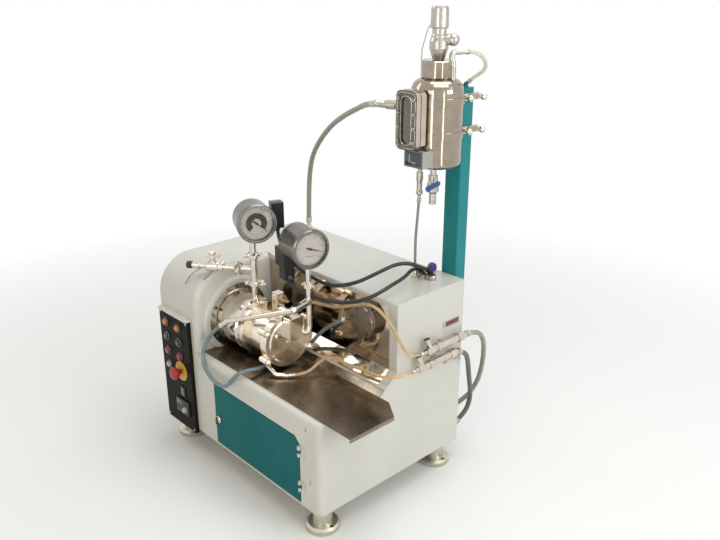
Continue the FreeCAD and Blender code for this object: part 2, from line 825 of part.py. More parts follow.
motor_z = z_bottom + motor_height
pulley_x0 = x_far + sheet + pulley_far_gap
pulley_x1 = pulley_x0 + pulley_width
motor_x0 = pulley_x1 + 30.0
motor_x1 = motor_x0 + motor_length
cartridge_x0 = tower_front - cartridge_length


def pulley(radius, bore, place_y, place_z):
    """Ribbed belt pulley with two side flanges and a hub."""
    flange = 3.0
    groove_count = 6
    profile = [(0, bore), (0, radius + 4), (flange, radius + 4), (flange, radius)]
    pitch = (pulley_width - 2 * flange) / groove_count
    for groove in range(groove_count):
        start = flange + groove * pitch
        profile += [(start + pitch * 0.5, radius - 2.4), (start + pitch, radius)]
    profile += [(pulley_width - flange, radius + 4), (pulley_width, radius + 4), (pulley_width, radius - 8),
                (pulley_width - 12, radius - 12), (pulley_width - 12, bore + 10), (pulley_width, bore + 10),
                (pulley_width, bore)]
    return turned(profile, (pulley_x0, place_y, place_z), along_x)


def finned_outline(root, tip, count):
    points = []
    for fin in range(count):
        for share, radius in ((0.0, root), (0.62, root), (0.68, tip), (0.94, tip)):
            angle = 2 * pi * (fin + share) / count
            points.append((axis_y + radius * cos(angle), motor_z + radius * sin(angle)))
    return points


def motor_housing():
    tip = motor_barrel_radius + motor_fin_height
    barrel = plate_yz(finned_outline(motor_barrel_radius, tip, motor_fin_count),
                      motor_x0 + 16, motor_x1 - motor_hood_length - 12)
    start = (motor_x0, axis_y, motor_z)
    front = turned([(0, 0), (0, 44), (5, 62), (9, tip - 2), (17, tip - 2), (17, 0)], start, along_x)
    rear = rod((motor_x1 - motor_hood_length - 13, axis_y, motor_z), along_x, tip - 2, 13)
    hood = turned([(0, tip - 4), (0, tip), (34, tip), (40, tip - 8), (40, 0), (38, 0), (38, tip - 10),
                   (33, tip - 2.5), (0, tip - 2.5)], (motor_x1 - motor_hood_length, axis_y, motor_z), along_x)
    for circle in (20.0, 40.0, 58.0):
        for y, z, angle in ring_points(axis_y, motor_z, circle, int(circle / 2.2)):
            hood = hood.cut(rod((motor_x1 - 5, y, z), along_x, 2.2, 8))
    bore = rod((motor_x0 + 10, axis_y, motor_z), along_x, 44, motor_length - 60)
    shaft_bore = rod((motor_x0 - 1, axis_y, motor_z), along_x, motor_shaft_radius + fit_gap,
                     motor_length - 30)
    body = join([barrel, front, rear]).cut(bore).cut(shaft_bore)
    feet = []
    for x in (motor_x0 + 28, motor_x1 - 90):
        feet.append(box(x, x + 30, axis_y - 68, axis_y + 68, z_bottom + sheet + rail_thickness,
                        motor_z - motor_foot_drop))
    body = join([body] + feet).cut(bore)
    box_x = motor_x0 + 112
    box_z = motor_z + motor_barrel_radius - 2
    terminal = rounded(box(box_x, box_x + 62, axis_y - 38, axis_y + 38, box_z, box_z + 40), 4.0,
                       lambda e: edge_box(e).ZMin > box_z + 1)
    terminal = terminal.cut(rod((box_x - 1, axis_y, motor_z), along_x, motor_barrel_radius + motor_fin_height
                                + fit_gap, 70))
    rails = []
    for side in (-1, 1):
        y = axis_y + side * 54
        rails.append(box(motor_x0 + 10, motor_x1 - 40, y - 17, y + 17, z_bottom + sheet,
                         z_bottom + sheet + rail_thickness))
    return [body, hood, terminal] + rails


def motor_rotor():
    start = (pulley_x0 - 4, axis_y, motor_z)
    length = motor_x1 - 8 - pulley_x0
    shaft = rod(start, along_x, motor_shaft_radius, length)
    core = rod((motor_x0 + 30, axis_y, motor_z), along_x, 40, motor_length - 95)
    fan = [tube((motor_x1 - 32, axis_y, motor_z), along_x, 24, motor_shaft_radius, 20)]
    for blade in range(7):
        blade_solid = box(motor_x1 - 32, motor_x1 - 12, axis_y - 1.5, axis_y + 1.5, motor_z + 22, motor_z + 64)
        blade_solid.rotate(V(0, axis_y, motor_z), along_x, 360.0 * blade / 7)
        fan.append(blade_solid)
    return [join([shaft, core] + fan), pulley(motor_pulley_radius, motor_shaft_radius, axis_y, motor_z)]


def belt_loop(upper, lower, distance):
    """Closed outline round two circles one above the other, centred on the lower one."""
    lean = asin((lower - upper) / distance)
    ny = cos(lean)
    nz = sin(lean)
    top = (upper * ny, distance + upper * nz)
    low = (lower * ny, lower * nz)
    right_low = V(0, low[0], low[1])
    right_top = V(0, top[0], top[1])
    left_low = V(0, -low[0], low[1])
    left_top = V(0, -top[0], top[1])
    return Part.Wire([Part.makeLine(right_low, right_top),
                      Part.Arc(right_top, V(0, 0, distance + upper), left_top).toShape(),
                      Part.makeLine(left_top, left_low),
                      Part.Arc(left_low, V(0, 0, -lower), right_low).toShape()])


def drive_belt():
    distance = axis_z - motor_z
    inner_gap = 0.4
    outer = Part.Face(belt_loop(spindle_pulley_radius + inner_gap + belt_thickness,
                                motor_pulley_radius + inner_gap + belt_thickness, distance))
    inner = Part.Face(belt_loop(spindle_pulley_radius + inner_gap, motor_pulley_radius + inner_gap, distance))
    x0 = (pulley_x0 + pulley_x1 - belt_width) / 2
    belt = outer.extrude(V(belt_width, 0, 0)).cut(inner.extrude(V(belt_width, 0, 0)))
    belt.translate(V(x0, axis_y, motor_z))
    return belt


# Spindle and its bearings

far_bearing_x = cartridge_x0 + 10.0
near_bearing_x = tower_front - 37.0
seal_x0 = tower_front + 1.0
face_ring_x = seal_x0 + 11.0
barrel_x0 = tower_front + bearing_flange_thickness + separator_length + neck_length + chamber_flange_thickness
jacket_end = barrel_x0 + chamber_flange_thickness + barrel_length
cover_x0 = jacket_end + chamber_flange_thickness
cover_x1 = cover_x0 + cover_thickness
shaft_end = cover_x0 - 14.0


def spindle_shaft():
    start = pulley_x0 - 4
    shoulder0 = far_bearing_x + bearing_width
    steps = [(0, 0), (0, shaft_radius), (pulley_x1 + 2 - start, shaft_radius),
             (pulley_x1 + 2 - start, bearing_bore_radius), (shoulder0 - start, bearing_bore_radius),
             (shoulder0 - start, bearing_bore_radius + 3), (near_bearing_x - start, bearing_bore_radius + 3),
             (near_bearing_x - start, bearing_bore_radius),
             (near_bearing_x + bearing_width - start, bearing_bore_radius),
             (near_bearing_x + bearing_width - start, bearing_bore_radius - 0.5),
             (seal_x0 - 4 - start, bearing_bore_radius - 0.5), (seal_x0 - 4 - start, seal_shaft_radius),
             (face_ring_x + 26 - start, seal_shaft_radius), (face_ring_x + 26 - start, shaft_radius),
             (shaft_end - 9 - start, shaft_radius), (shaft_end - 9 - start, shaft_radius + 5),
             (shaft_end - 2 - start, shaft_radius + 4), (shaft_end - start, shaft_radius + 1),
             (shaft_end - start, 0)]
    solids = [turned(steps, (start, axis_y, axis_z), along_x)]
    ball_circle = (bearing_bore_radius + bearing_outer_radius) / 2
    ball_radius = (bearing_outer_radius - bearing_bore_radius) / 2 - bearing_land - fit_gap
    for x in (far_bearing_x, near_bearing_x):
        solids.append(tube((x, axis_y, axis_z), along_x, bearing_bore_radius + bearing_land,
                           bearing_bore_radius, bearing_width))
        for y, z, angle in ring_points(axis_y, axis_z, ball_circle, ball_count):
            solids.append(Part.makeSphere(ball_radius, V(x + bearing_width / 2, y, z)))
    solids.append(tube((face_ring_x + running_gap, axis_y, axis_z), along_x, seal_shaft_radius + 11,
                       seal_shaft_radius, 9))
    return solids


def bearing_housing():
    flange = rod((tower_front, axis_y, axis_z), along_x, bearing_flange_radius, bearing_flange_thickness)
    flange = flange.cut(box(tower_front - 1, tower_front + bearing_flange_thickness + 1, y_front, wall_y,
                            z_bottom, flat_cut_z))
    cartridge = turned([(0, 0), (0, cartridge_radius - 3), (3, cartridge_radius),
                        (cartridge_length + 1, cartridge_radius), (cartridge_length + 1, 0)],
                       (cartridge_x0, axis_y, axis_z), along_x)
    pedestal_x = tower_front - 24
    half = spindle_front_offset - 30
    pedestal = box(pedestal_x, pedestal_x + 12, axis_y - half, axis_y + half, z_bottom + pan_lip + 2,
                   axis_z + cartridge_radius + 12)
    pedestal = rounded(pedestal, 20.0, lambda e: runs_along(e, 0) and edge_box(e).ZMin > axis_z)
    foot_plates = []
    for side in (-1, 1):
        y = axis_y + side * (half - 13)
        foot_plates.append(box(pedestal_x - 14, pedestal_x + 26, y - 13, y + 13, z_bottom + sheet,
                               z_bottom + pan_lip + 2))
    window = rod((pedestal_x - 20, axis_y, motor_z), along_x, motor_barrel_radius + motor_fin_height + 8, 60)
    window_low = box(pedestal_x - 20, pedestal_x + 40, axis_y - motor_barrel_radius - motor_fin_height - 8,
                     axis_y + motor_barrel_radius + motor_fin_height + 8, z_bottom, motor_z)
    body = join([cartridge, flange, pedestal] + foot_plates).cut(window).cut(window_low)
    bore = [rod((cartridge_x0 - 1, axis_y, axis_z), along_x, bearing_outer_radius,
                far_bearing_x + bearing_width - cartridge_x0 + 1),
            rod((cartridge_x0, axis_y, axis_z), along_x, bearing_outer_radius - bearing_land, cartridge_length),
            rod((near_bearing_x, axis_y, axis_z), along_x, bearing_outer_radius,
                tower_front + bearing_flange_thickness - near_bearing_x + 1)]
    for cutter in bore:
        body = body.cut(cutter)
    for y, z, angle in ring_points(axis_y, axis_z, bearing_flange_radius - 9, 6, 30.0):
        if z > flat_cut_z + 12:
            body = body.cut(rod((tower_front + bearing_flange_thickness - 3, y, z), along_x, 5.5, 4))
    solids = [body]
    for x in (far_bearing_x, near_bearing_x):
        solids.append(tube((x, axis_y, axis_z), along_x, bearing_outer_radius,
                           bearing_outer_radius - bearing_land, bearing_width))
    solids.append(tube((seal_x0, axis_y, axis_z), along_x, bearing_outer_radius,
                       seal_shaft_radius + 1.5, face_ring_x - seal_x0))
    return solids


def agitator_discs():
    """Drilled grinding discs with spacer sleeves between them."""
    solids = []
    first = barrel_x0 + 6.0
    for index in range(disc_count):
        x = first + index * disc_pitch
        disc = tube((x, axis_y, axis_z), along_x, disc_radius, shaft_radius, disc_thickness)
        for y, z, angle in ring_points(axis_y, axis_z, (disc_radius + shaft_radius) / 2 + 1, 6, 15.0 * index):
            disc = disc.cut(rod((x - 1, y, z), along_x, 5.0, disc_thickness + 2))
        solids.append(disc)
        if index < disc_count - 1:
            solids.append(tube((x + disc_thickness, axis_y, axis_z), along_x, shaft_radius + 4, shaft_radius,
                               disc_pitch - disc_thickness))
    return solids


# Grinding chamber

separator_x0 = tower_front + bearing_flange_thickness
neck_x0 = separator_x0 + separator_length
stem_x = tower_front + bearing_flange_thickness + outlet_stem_offset
screen_x0 = separator_x0 + 46.0
screen_x1 = barrel_x0 - 4.0


def separator_housing():
    flange_x0 = neck_x0 + neck_length
    length = separator_length + neck_length + chamber_flange_thickness
    profile = [(0, bearing_outer_radius), (0, separator_radius - 6), (2, separator_radius - 2),
               (6, separator_radius), (separator_length - 5, separator_radius),
               (separator_length, separator_radius - 5), (separator_length, neck_radius),
               (separator_length + neck_length, neck_radius),
               (separator_length + neck_length, chamber_flange_radius), (length, chamber_flange_radius),
               (length, liner_bore_radius), (46, liner_bore_radius), (46, screen_radius - 6), (38, screen_radius - 6),
               (38, bearing_outer_radius)]
    body = turned(profile, (separator_x0, axis_y, axis_z), along_x)
    boss = rod((stem_x, axis_y, axis_z + separator_radius - 12), up, pipe_radius + 5, 16)
    body = body.fuse(boss)
    body = body.cut(rod((stem_x, axis_y, axis_z + liner_bore_radius - 8), up, pipe_radius - pipe_wall, 60))
    body = body.cut(rod((flange_x0 - 30, axis_y, axis_z), along_x, liner_bore_radius, 30))
    return body.removeSplitter()


def separator_screen():
    length = screen_x1 - screen_x0
    screen = tube((screen_x0, axis_y, axis_z), along_x, screen_radius, screen_radius - screen_wall, length)
    for slot in range(screen_slot_count):
        cutter = box(screen_x0 + 8, screen_x1 - 6, axis_y - 0.6, axis_y + 0.6, axis_z + screen_radius - 5,
                     axis_z + screen_radius + 1)
        cutter.rotate(V(0, axis_y, axis_z), along_x, 360.0 * slot / screen_slot_count)
        screen = screen.cut(cutter)
    return screen


def eared_disc(x0, radius, thickness):
    """Disc with lugs for the clamp bolts round its rim."""
    pieces = [rod((x0, axis_y, axis_z), along_x, radius, thickness)]
    for y, z, angle in ring_points(axis_y, axis_z, ear_circle_radius, ear_count, 30.0):
        if z - ear_radius > flat_cut_z:
            pieces.append(rod((x0, y, z), along_x, ear_radius, thickness))
    disc = join(pieces)
    for y, z, angle in ring_points(axis_y, axis_z, ear_circle_radius, ear_count, 30.0):
        if z - ear_radius > flat_cut_z:
            disc = disc.cut(rod((x0 - 1, y, z), along_x, ear_bolt_radius + 0.2, thickness + 2))
    return disc


def chamber_jacket():
    start = barrel_x0
    flange = rod((start, axis_y, axis_z), along_x, chamber_flange_radius, chamber_flange_thickness)
    barrel_start = start + chamber_flange_thickness
    barrel = rod((barrel_start, axis_y, axis_z), along_x, barrel_radius, barrel_length)
    end = eared_disc(jacket_end, cover_radius, chamber_flange_thickness)
    elbow_x = jacket_end + chamber_flange_thickness / 2
    elbow = bent_pipe([(elbow_x, axis_y - 38, axis_z - 38), (elbow_x, axis_y - 60, axis_z - 60),
                       (elbow_x + 40, axis_y - 62, axis_z - 73), (elbow_x + 56, axis_y - 46, axis_z - 74)],
                      6.0, 9)
    lower_port = (elbow_x + 53, axis_y - 49, axis_z - 74)
    lower_barb = hose_port(lower_port, "lower_water_tube", False, 4.5, 8)
    upper_way = V(0, 1, 1)
    upper_start = V(barrel_start + 50, axis_y, axis_z) + upper_way.normalize() * (barrel_radius - 3)
    upper_barb = rod(upper_start, upper_way, 6.0, 20)
    upper_port = upper_start + upper_way.normalize() * 16
    upper_tip = hose_port(upper_port, "upper_water_tube", True, 4.5, 6)
    body = join([flange, barrel, end, elbow, lower_barb, upper_barb, upper_tip])
    water = tube((barrel_start, axis_y, axis_z), along_x, barrel_radius - barrel_wall,
                 liner_bore_radius + liner_wall - 1, barrel_length)
    bore = rod((start - 1, axis_y, axis_z), along_x, liner_bore_radius + liner_wall, 200)
    return body.cut(water).cut(bore)


def chamber_liner():
    return tube((barrel_x0, axis_y, axis_z), along_x, liner_bore_radius + liner_wall, liner_bore_radius,
                cover_x0 - barrel_x0)


block_y0 = axis_y - 16.0
block_y1 = axis_y + 32.0
block_z0 = axis_z + 10.0
block_z1 = axis_z + inlet_block_top
block_depth = 28.0


def end_cover():
    plate = eared_disc(cover_x0, cover_radius, cover_thickness)
    dish = turned([(0, 0), (0, cover_radius - 12), (2.5, cover_radius - 16), (2.5, 0)],
                  (cover_x1, axis_y, axis_z), along_x)
    cover = join([plate, dish])
    cover = cover.cut(rod((cover_x0 - 1, axis_y, axis_z), along_x, 8, cover_thickness - 3))
    cover = cover.cut(rod((cover_x0 + 5, axis_y, axis_z), V(0, 0.2, 1), 4, 40))
    solids = [cover]
    for y, z, angle in ring_points(axis_y, axis_z, ear_circle_radius, ear_count, 30.0):
        if z - ear_radius > flat_cut_z:
            start = (jacket_end - 6, y, z)
            span = cover_x1 - jacket_end + 6
            bolt = turned([(0, 0), (0, 6.5), (6, 6.5), (6, ear_bolt_radius), (span, ear_bolt_radius),
                           (span, 7.5), (span + 7, 7.5), (span + 10, 5.5), (span + 11.5, 0)],
                          start, along_x)
            solids.append(bolt)
    return solids


# Product inlet on the end cover

inlet_x = cover_x1 + inlet_x_offset
inlet_y = axis_y + inlet_y_offset
tee_place = (inlet_x + 6.0, axis_y - 11.0, inlet_elbow_height - 6.0)


def pipe_path(points, bend):
    """Wire of straight runs with round bends of one radius."""
    edges = []
    places = [V(*point) for point in points]
    last = places[0]
    for i in range(1, len(places) - 1):
        before = (places[i] - places[i - 1]).normalize()
        after = (places[i + 1] - places[i]).normalize()
        turn = acos(max(-1.0, min(1.0, before.dot(after))))
        back = bend * tan(turn / 2)
        start = places[i] - before * back
        end = places[i] + after * back
        inward = (after - before).normalize()
        middle = places[i] + inward * (bend / cos(turn / 2) - bend)
        edges.append(Part.makeLine(last, start))
        edges.append(Part.Arc(start, middle, end).toShape())
        last = end
    edges.append(Part.makeLine(last, places[-1]))
    return Part.Wire(edges)


def bent_pipe(points, radius, bend):
    path = pipe_path(points, bend)
    first = V(*points[0])
    direction = V(*points[1]) - first
    circle = Part.Wire([Part.makeCircle(radius, first, direction)])
    return path.makePipeShell([circle], True, False)


def inlet_pipework():
    block = box(cover_x1 + 2.5, cover_x1 + 2.5 + block_depth, block_y0, block_y1, block_z0, block_z1)
    block = rounded(block, 5.0, lambda e: runs_along(e, 0))
    leg = rod((tee_place[0] - 4, tee_place[1], block_z1 - 1), up, pipe_radius - 1,
              tee_place[2] - block_z1 + 1)
    riser_low = block_z0 + 12
    riser = bent_pipe([(cover_x1 + 18, block_y1 - 1, riser_low), (inlet_x, inlet_y - 6, riser_low),
                       (inlet_x, inlet_y, riser_low + 18), (inlet_x, inlet_y, inlet_elbow_height + 6)],
                      pipe_radius - 2, 6.0)
    elbow = bent_pipe([(tee_place[0], tee_place[1] - 8, tee_place[2] - 3), tee_place,
                       (inlet_x + 2, inlet_y - 12, inlet_elbow_height), (inlet_x, inlet_y, inlet_elbow_height + 1)],
                      pipe_radius + 1, 4.0)
    stem = rod((inlet_x, inlet_y, inlet_elbow_height), up, pipe_radius - 2.5,
               inlet_gauge_height - gauge_radius - inlet_elbow_height + 1)
    ferrule = rod((inlet_x, inlet_y, inlet_elbow_height + 40), up, ferrule_radius, 12)
    studs = rod((inlet_x - 18, inlet_y - 6, inlet_elbow_height + 46), V(1, 0.3, 0), 5, 38)
    bar = rod((cover_x1 + 2.5 + block_depth - 6, block_y0 - 8, block_z0 + 2), V(0.1, 0.92, -0.38), 4.0, 44)
    feed_port = V(*tee_place) + V(0, -4, -2)
    feed_tube = hose_port(feed_port, "product_hose", False, feed_tube_radius, 13)
    sleeve = hose_tail("product_hose", False, feed_tube_radius + 1.5, 18)
    return join([elbow, feed_tube, sleeve, riser, stem, ferrule, studs, leg, block, bar])


def fill_port():
    """Square filling neck on the barrel with a cone plug laid in its mouth."""
    x = barrel_x0 + chamber_flange_thickness + 24
    y = axis_y + 30
    low = axis_z + sqrt(barrel_radius ** 2 - 30 ** 2) - 10
    top = axis_z + barrel_radius + 46
    neck = box(x - 13, x + 13, y - 13, y + 13, low, top)
    neck = rounded(neck, 3.0, lambda e: runs_along(e, 2))
    neck = neck.cut(rod((x - 40, axis_y, axis_z), along_x, barrel_radius, 80))
    plug = turned([(0, 0), (0, 13), (10, 13), (12, 10), (34, 3), (36, 0)], (x + 13, y, top - 14), along_x)
    return [neck, plug]


# Product outlet, sampling branch and pipe clamps

branch_way = V(-cos(radians(branch_angle)), -sin(radians(branch_angle)), 0)
tee_centre = V(stem_x, axis_y, outlet_tee_height)
valve_centre = tee_centre + branch_way * valve_distance
valve_stem_top = 26.0
stem_low = axis_z + separator_radius + 4.0
outlet_gauge_low = outlet_gauge_height - gauge_radius


def outlet_pipework():
    stem = rod((stem_x, axis_y, stem_low), up, pipe_radius, outlet_gauge_low - stem_low + 1)
    branch = rod(tee_centre, branch_way, pipe_radius - 1.5, branch_length)
    body = turned([(-20, 0), (-20, 11), (-14, 14), (14, 14), (20, 11), (20, 0)], valve_centre, branch_way)
    bonnet = rod(valve_centre, up, 8.5, valve_stem_top - 6)
    union = rod(tee_centre + branch_way * 88, branch_way, 13, 10)
    nozzle = rod(tee_centre + branch_way * (branch_length - 34), branch_way, 10.5, 12)
    ferrules = []
    for z in (outlet_tee_height - ferrule_spacing, outlet_tee_height + ferrule_spacing):
        ferrules.append(turned([(-8, pipe_radius - 1), (-8, pipe_radius), (-3, ferrule_radius), (3, ferrule_radius),
                                (8, pipe_radius), (8, pipe_radius - 1)], (stem_x, axis_y, z), up))
    ferrules.append(turned([(-8, pipe_radius - 3), (-8, pipe_radius - 1.5), (-3, ferrule_radius),
                            (3, ferrule_radius), (8, pipe_radius - 1.5), (8, pipe_radius - 3)],
                           tee_centre + branch_way * (ferrule_spacing + 4), branch_way))
    whole = join([stem, branch, body, bonnet, union, nozzle] + ferrules)
    whole = whole.cut(rod((stem_x, axis_y, stem_low - 1), up, pipe_radius - pipe_wall,
                          outlet_gauge_low - stem_low - 8))
    whole = whole.cut(rod(tee_centre, branch_way, outlet_bore_radius, branch_length + 1))
    return whole.cut(rod(valve_centre, up, 3 + fit_gap, valve_stem_top + 1))


def sampling_handle():
    top = outlet_tee_height + valve_stem_top
    stem = rod((0, 0, -18), up, 3.0, 22)
    bow = plate_xy([(-20, -6), (-5, -3.5), (5, -3.5), (20, -6), (20, 6), (5, 3.5), (-5, 3.5), (-20, 6)], 0, 9)
    bow = rounded(bow, 1.5, lambda e: edge_box(e).ZMin > 8.9)
    hub = rod((0, 0, running_gap - 6), up, 7.0, 8)
    handle = join([stem, hub, bow])
    return at_place(handle, (valve_centre.x, valve_centre.y, top), degrees(atan2(branch_way.y, branch_way.x)))


def pipe_clamp():
    """Two-half pipe clamp made round the Z axis, with its hinge and its wing nut."""
    half = clamp_height / 2
    band = turned([(-half, ferrule_radius + 0.3), (-half, clamp_radius - 2), (-half + 2, clamp_radius),
                   (half - 2, clamp_radius), (half, clamp_radius - 2), (half, ferrule_radius + 0.3)],
                  (0, 0, 0), up)
    hinge = box(-clamp_radius - 7, -clamp_radius + 1.5, -4.5, 4.5, -half + 1.5, half - 1.5)
    lug = box(clamp_radius - 1.5, clamp_radius + 9, -6, 6, -half + 1.5, half - 1.5)
    screw = rod((clamp_radius + 4.5, -16, 0), along_y, 2.4, 24)
    nut = turned([(0, 0), (0, 5.5), (8, 4.5), (8, 0)], (clamp_radius + 4.5, -6, 0), V(0, -1, 0))
    wings = box(clamp_radius - 5.5, clamp_radius + 14.5, -16, -10, -1.6, 1.6)
    return join([band, hinge, lug, screw, nut, wings])


def pipe_clamps():
    solids = []
    for z in (outlet_tee_height - ferrule_spacing, outlet_tee_height + ferrule_spacing):
        solids.append(at_place(pipe_clamp(), (stem_x, axis_y, z), 50))
    lying = pipe_clamp()
    centre = tee_centre + branch_way * (ferrule_spacing + 4)
    lying.Placement = FreeCAD.Placement(centre, FreeCAD.Rotation(up, branch_way))
    solids.append(lying)
    return solids


# Pressure gauges

def gauge_way(turn):
    return V(cos(radians(turn)), -sin(radians(turn)), 0)


outlet_way = gauge_way(outlet_gauge_turn)
inlet_way = gauge_way(inlet_gauge_turn)
outlet_gauge_back = V(stem_x, axis_y, outlet_gauge_height) - outlet_way * outlet_gauge_stem_inset
inlet_gauge_back = V(inlet_x, inlet_y, inlet_gauge_height) - inlet_way * inlet_gauge_stem_inset


def gauge_case(back, way, depth):
    """Deep case, open to the dial recess at the front, with a stepped bezel."""
    front = depth
    case = turned([(0, 0), (0, gauge_radius - 6), (5, gauge_radius - 1.5), (8, gauge_radius),
                   (front - bezel_depth, gauge_radius), (front - bezel_depth, bezel_radius),
                   (front - 3, bezel_radius), (front, bezel_radius - 3), (front, gauge_radius - 5),
                   (front - 1.5, gauge_radius - 5), (front - 1.5, gauge_radius - 3),
                   (front - 1.5 - glass_thickness, gauge_radius - 3),
                   (front - 1.5 - glass_thickness, gauge_radius - 6),
                   (front - dial_depth, gauge_radius - 6), (front - dial_depth, 0)], back, way)
    return case.cut(rod(back + way * (front - dial_depth - 6), way, 1.0 + fit_gap, 7))


def gauge_cases():
    outlet = gauge_case(outlet_gauge_back, outlet_way, outlet_gauge_depth)
    inlet = gauge_case(inlet_gauge_back, inlet_way, inlet_gauge_depth)
    return [outlet.cut(rod((stem_x, axis_y, outlet_gauge_low - 5), up, pipe_radius, 6 + fit_gap)),
            inlet.cut(rod((inlet_x, inlet_y, inlet_gauge_height - gauge_radius - 5), up,
                          pipe_radius - 2.5, 6 + fit_gap))]


def instrument_windows():
    solids = []
    for back, way, depth in ((outlet_gauge_back, outlet_way, outlet_gauge_depth),
                             (inlet_gauge_back, inlet_way, inlet_gauge_depth)):
        start = back + way * (depth - 1.5 - glass_thickness)
        solids.append(rod(start, way, gauge_radius - 3, glass_thickness))
    window_y = sight_y0 + 4
    half = sight_window_width / 2
    glass = box(column_x - 2 - half, column_x - 2 + half, window_y, window_y + 8,
                sight_centre_height - sight_height / 2 + 18, sight_centre_height + sight_height / 2 - 18)
    solids.append(rounded(glass, half - 0.5, lambda e: runs_along(e, 1)))
    return solids


def gauge_needle(back, way, depth, angle):
    """Needle with its arbor, made facing +X and turned to the gauge's direction."""
    pointer = plate_yz([(-2.2, -12), (2.2, -12), (1.6, 0), (0.4, 36), (-0.4, 36), (-1.6, 0)], 0, 0.8)
    pointer = pointer.fuse(rod((0, 0, 0), along_x, 3.2, 2.0))
    pointer.rotate(V(0, 0, 0), along_x, angle)
    arbor = rod((-6, 0, 0), along_x, 1.0, 6.5)
    needle = join([pointer, arbor])
    start = back + way * (depth - dial_depth + 2.2)
    needle.Placement = FreeCAD.Placement(start, FreeCAD.Rotation(along_x, way)).multiply(needle.Placement)
    return needle


def outlet_gauge_needle():
    return gauge_needle(outlet_gauge_back, outlet_way, outlet_gauge_depth, -130)


def inlet_gauge_needle():
    return gauge_needle(inlet_gauge_back, inlet_way, inlet_gauge_depth, -110)


def cable_gland(place, cable):
    """Threaded base up from a sheet with the gland head tilted toward the cable."""
    base = turned([(-8, cord_gland_radius), (-8, gland_thread_radius), (0, gland_thread_radius), (0, 11),
                   (gland_base - 2, 11), (gland_base, 10), (gland_base, cord_gland_radius)], place, up)
    knee = V(*place) + V(0, 0, gland_base - 3)
    lead = knee - V(*cord_paths[cable][1][-1])
    lead.normalize()
    nut = rod(knee - lead * 14, lead, 9.5, 14)
    head = hose_port(knee, cable, True, 7.0, 5)
    return join([base, Part.makeSphere(10.5, knee), nut, head])


def instrument_boxes():
    """Junction boxes of the gauges, the level display and the cable glands."""
    solids = []
    side = V(-outlet_way.y, outlet_way.x, 0)
    centre = V(stem_x, axis_y, outlet_gauge_height) + side * 70 - outlet_way * 2
    housing = rounded(box(-18, 18, -17, 17, -35, 35), 3.0, lambda e: runs_along(e, 2))
    neck = rod((0, -40, -4), along_y, 11, 30)
    exit_gland = rod((0, 0, -46), up, 8.0, 12)
    outlet_box = at_place(join([housing, neck, exit_gland]), centre, -outlet_gauge_turn)
    solids.append(outlet_box.cut(rod(outlet_gauge_back, outlet_way, gauge_radius, outlet_gauge_depth)))
    centre = inlet_gauge_back + V(-14, -18, -46)
    wide = rounded(box(-26, 26, -22, 22, -24, 26), 3.0, lambda e: runs_along(e, 2))
    narrow = rounded(box(-17, 17, -16, 16, -62, -22), 3.0, lambda e: runs_along(e, 2))
    exit_gland = rod((10, 0, -54), V(0.66, 0.12, -0.74), 8.0, 18)
    inlet_box = at_place(join([wide, narrow, exit_gland]), centre, -inlet_gauge_turn)
    solids.append(inlet_box.cut(rod(inlet_gauge_back, inlet_way, gauge_radius, inlet_gauge_depth)))
    display_y = sight_y0 + 14
    display = box(column_x - 18, column_x + 42, display_y, tank_y - sqrt(tank_radius ** 2 - 40 ** 2) + 3,
                  display_z0, display_z0 + 42)
    solids.append(display.cut(rod((tank_x, tank_y, display_z0 - 1), up, tank_radius, 60)))
    for (x, y), cable in zip(top_gland_places, ("gauge_cable_front", "gauge_cable_rear")):
        solids.append(cable_gland((x, y, z_top), cable))
    x, z = gland_place
    solids.append(turned([(-8, 5), (-8, gland_thread_radius), (0, gland_thread_radius), (0, 13), (6, 13), (6, 11),
                          (16, 9), (22, 7), (22, 5)], (x, y_back, z), along_y))
    return solids


# Feed pump head

def pump_head():
    z = z_bottom + pump_height
    face_y = wall_y - liner_sheet
    head = turned([(0, 0), (0, pump_radius), (pump_depth - 6, pump_radius), (pump_depth - 4, pump_radius - 2),
                   (pump_depth - 4, pump_radius - 6), (pump_depth, pump_radius - 8), (pump_depth, 0)],
                  (pump_x, face_y, z), V(0, -1, 0))
    spigot = rod((pump_x, face_y - 1, z), along_y, pump_spigot_radius, 24)
    pieces = [head, spigot]
    for y, height, angle in ring_points(0, 0, pump_radius - 13, 6):
        pieces.append(rod((pump_x + y, face_y - pump_depth - 3, z + height), along_y, 4.5, 5))
    port_y = face_y - pump_depth / 2
    pieces.append(hose_port((pump_x - pump_radius / 2, port_y, z), "product_hose", True, 6.0, 16))
    pieces.append(rod((pump_x - 14, port_y, z - pump_radius + 6), V(-0.15, 0, -1), 5.0, 34))
    return join(pieces)


# Column with the seal tank

tank_x = column_x + 2.0
tank_y = y_back - tank_back_gap - tank_radius
sight_y0 = tank_y - tank_radius - sight_standoff


def column():
    x0 = column_x - column_width / 2
    outer = box(x0, x0 + column_width, y_back, y_back + column_depth, column_bottom, column_top)
    outer = rounded(outer, 4.0, lambda e: runs_along(e, 2))
    inner = box(x0 + column_wall, x0 + column_width - column_wall, y_back + column_wall,
                y_back + column_depth - column_wall, column_bottom - 1, column_top - column_wall)
    spigot = hose_port((column_x + 10, y_back + column_depth / 2, column_top + 3), "clear_hose", True, 5.0, 4)
    nut = rod((column_x + 10, y_back + column_depth / 2, column_top - 1), up, 9.0, 6)
    return join([outer.cut(inner), nut, spigot])


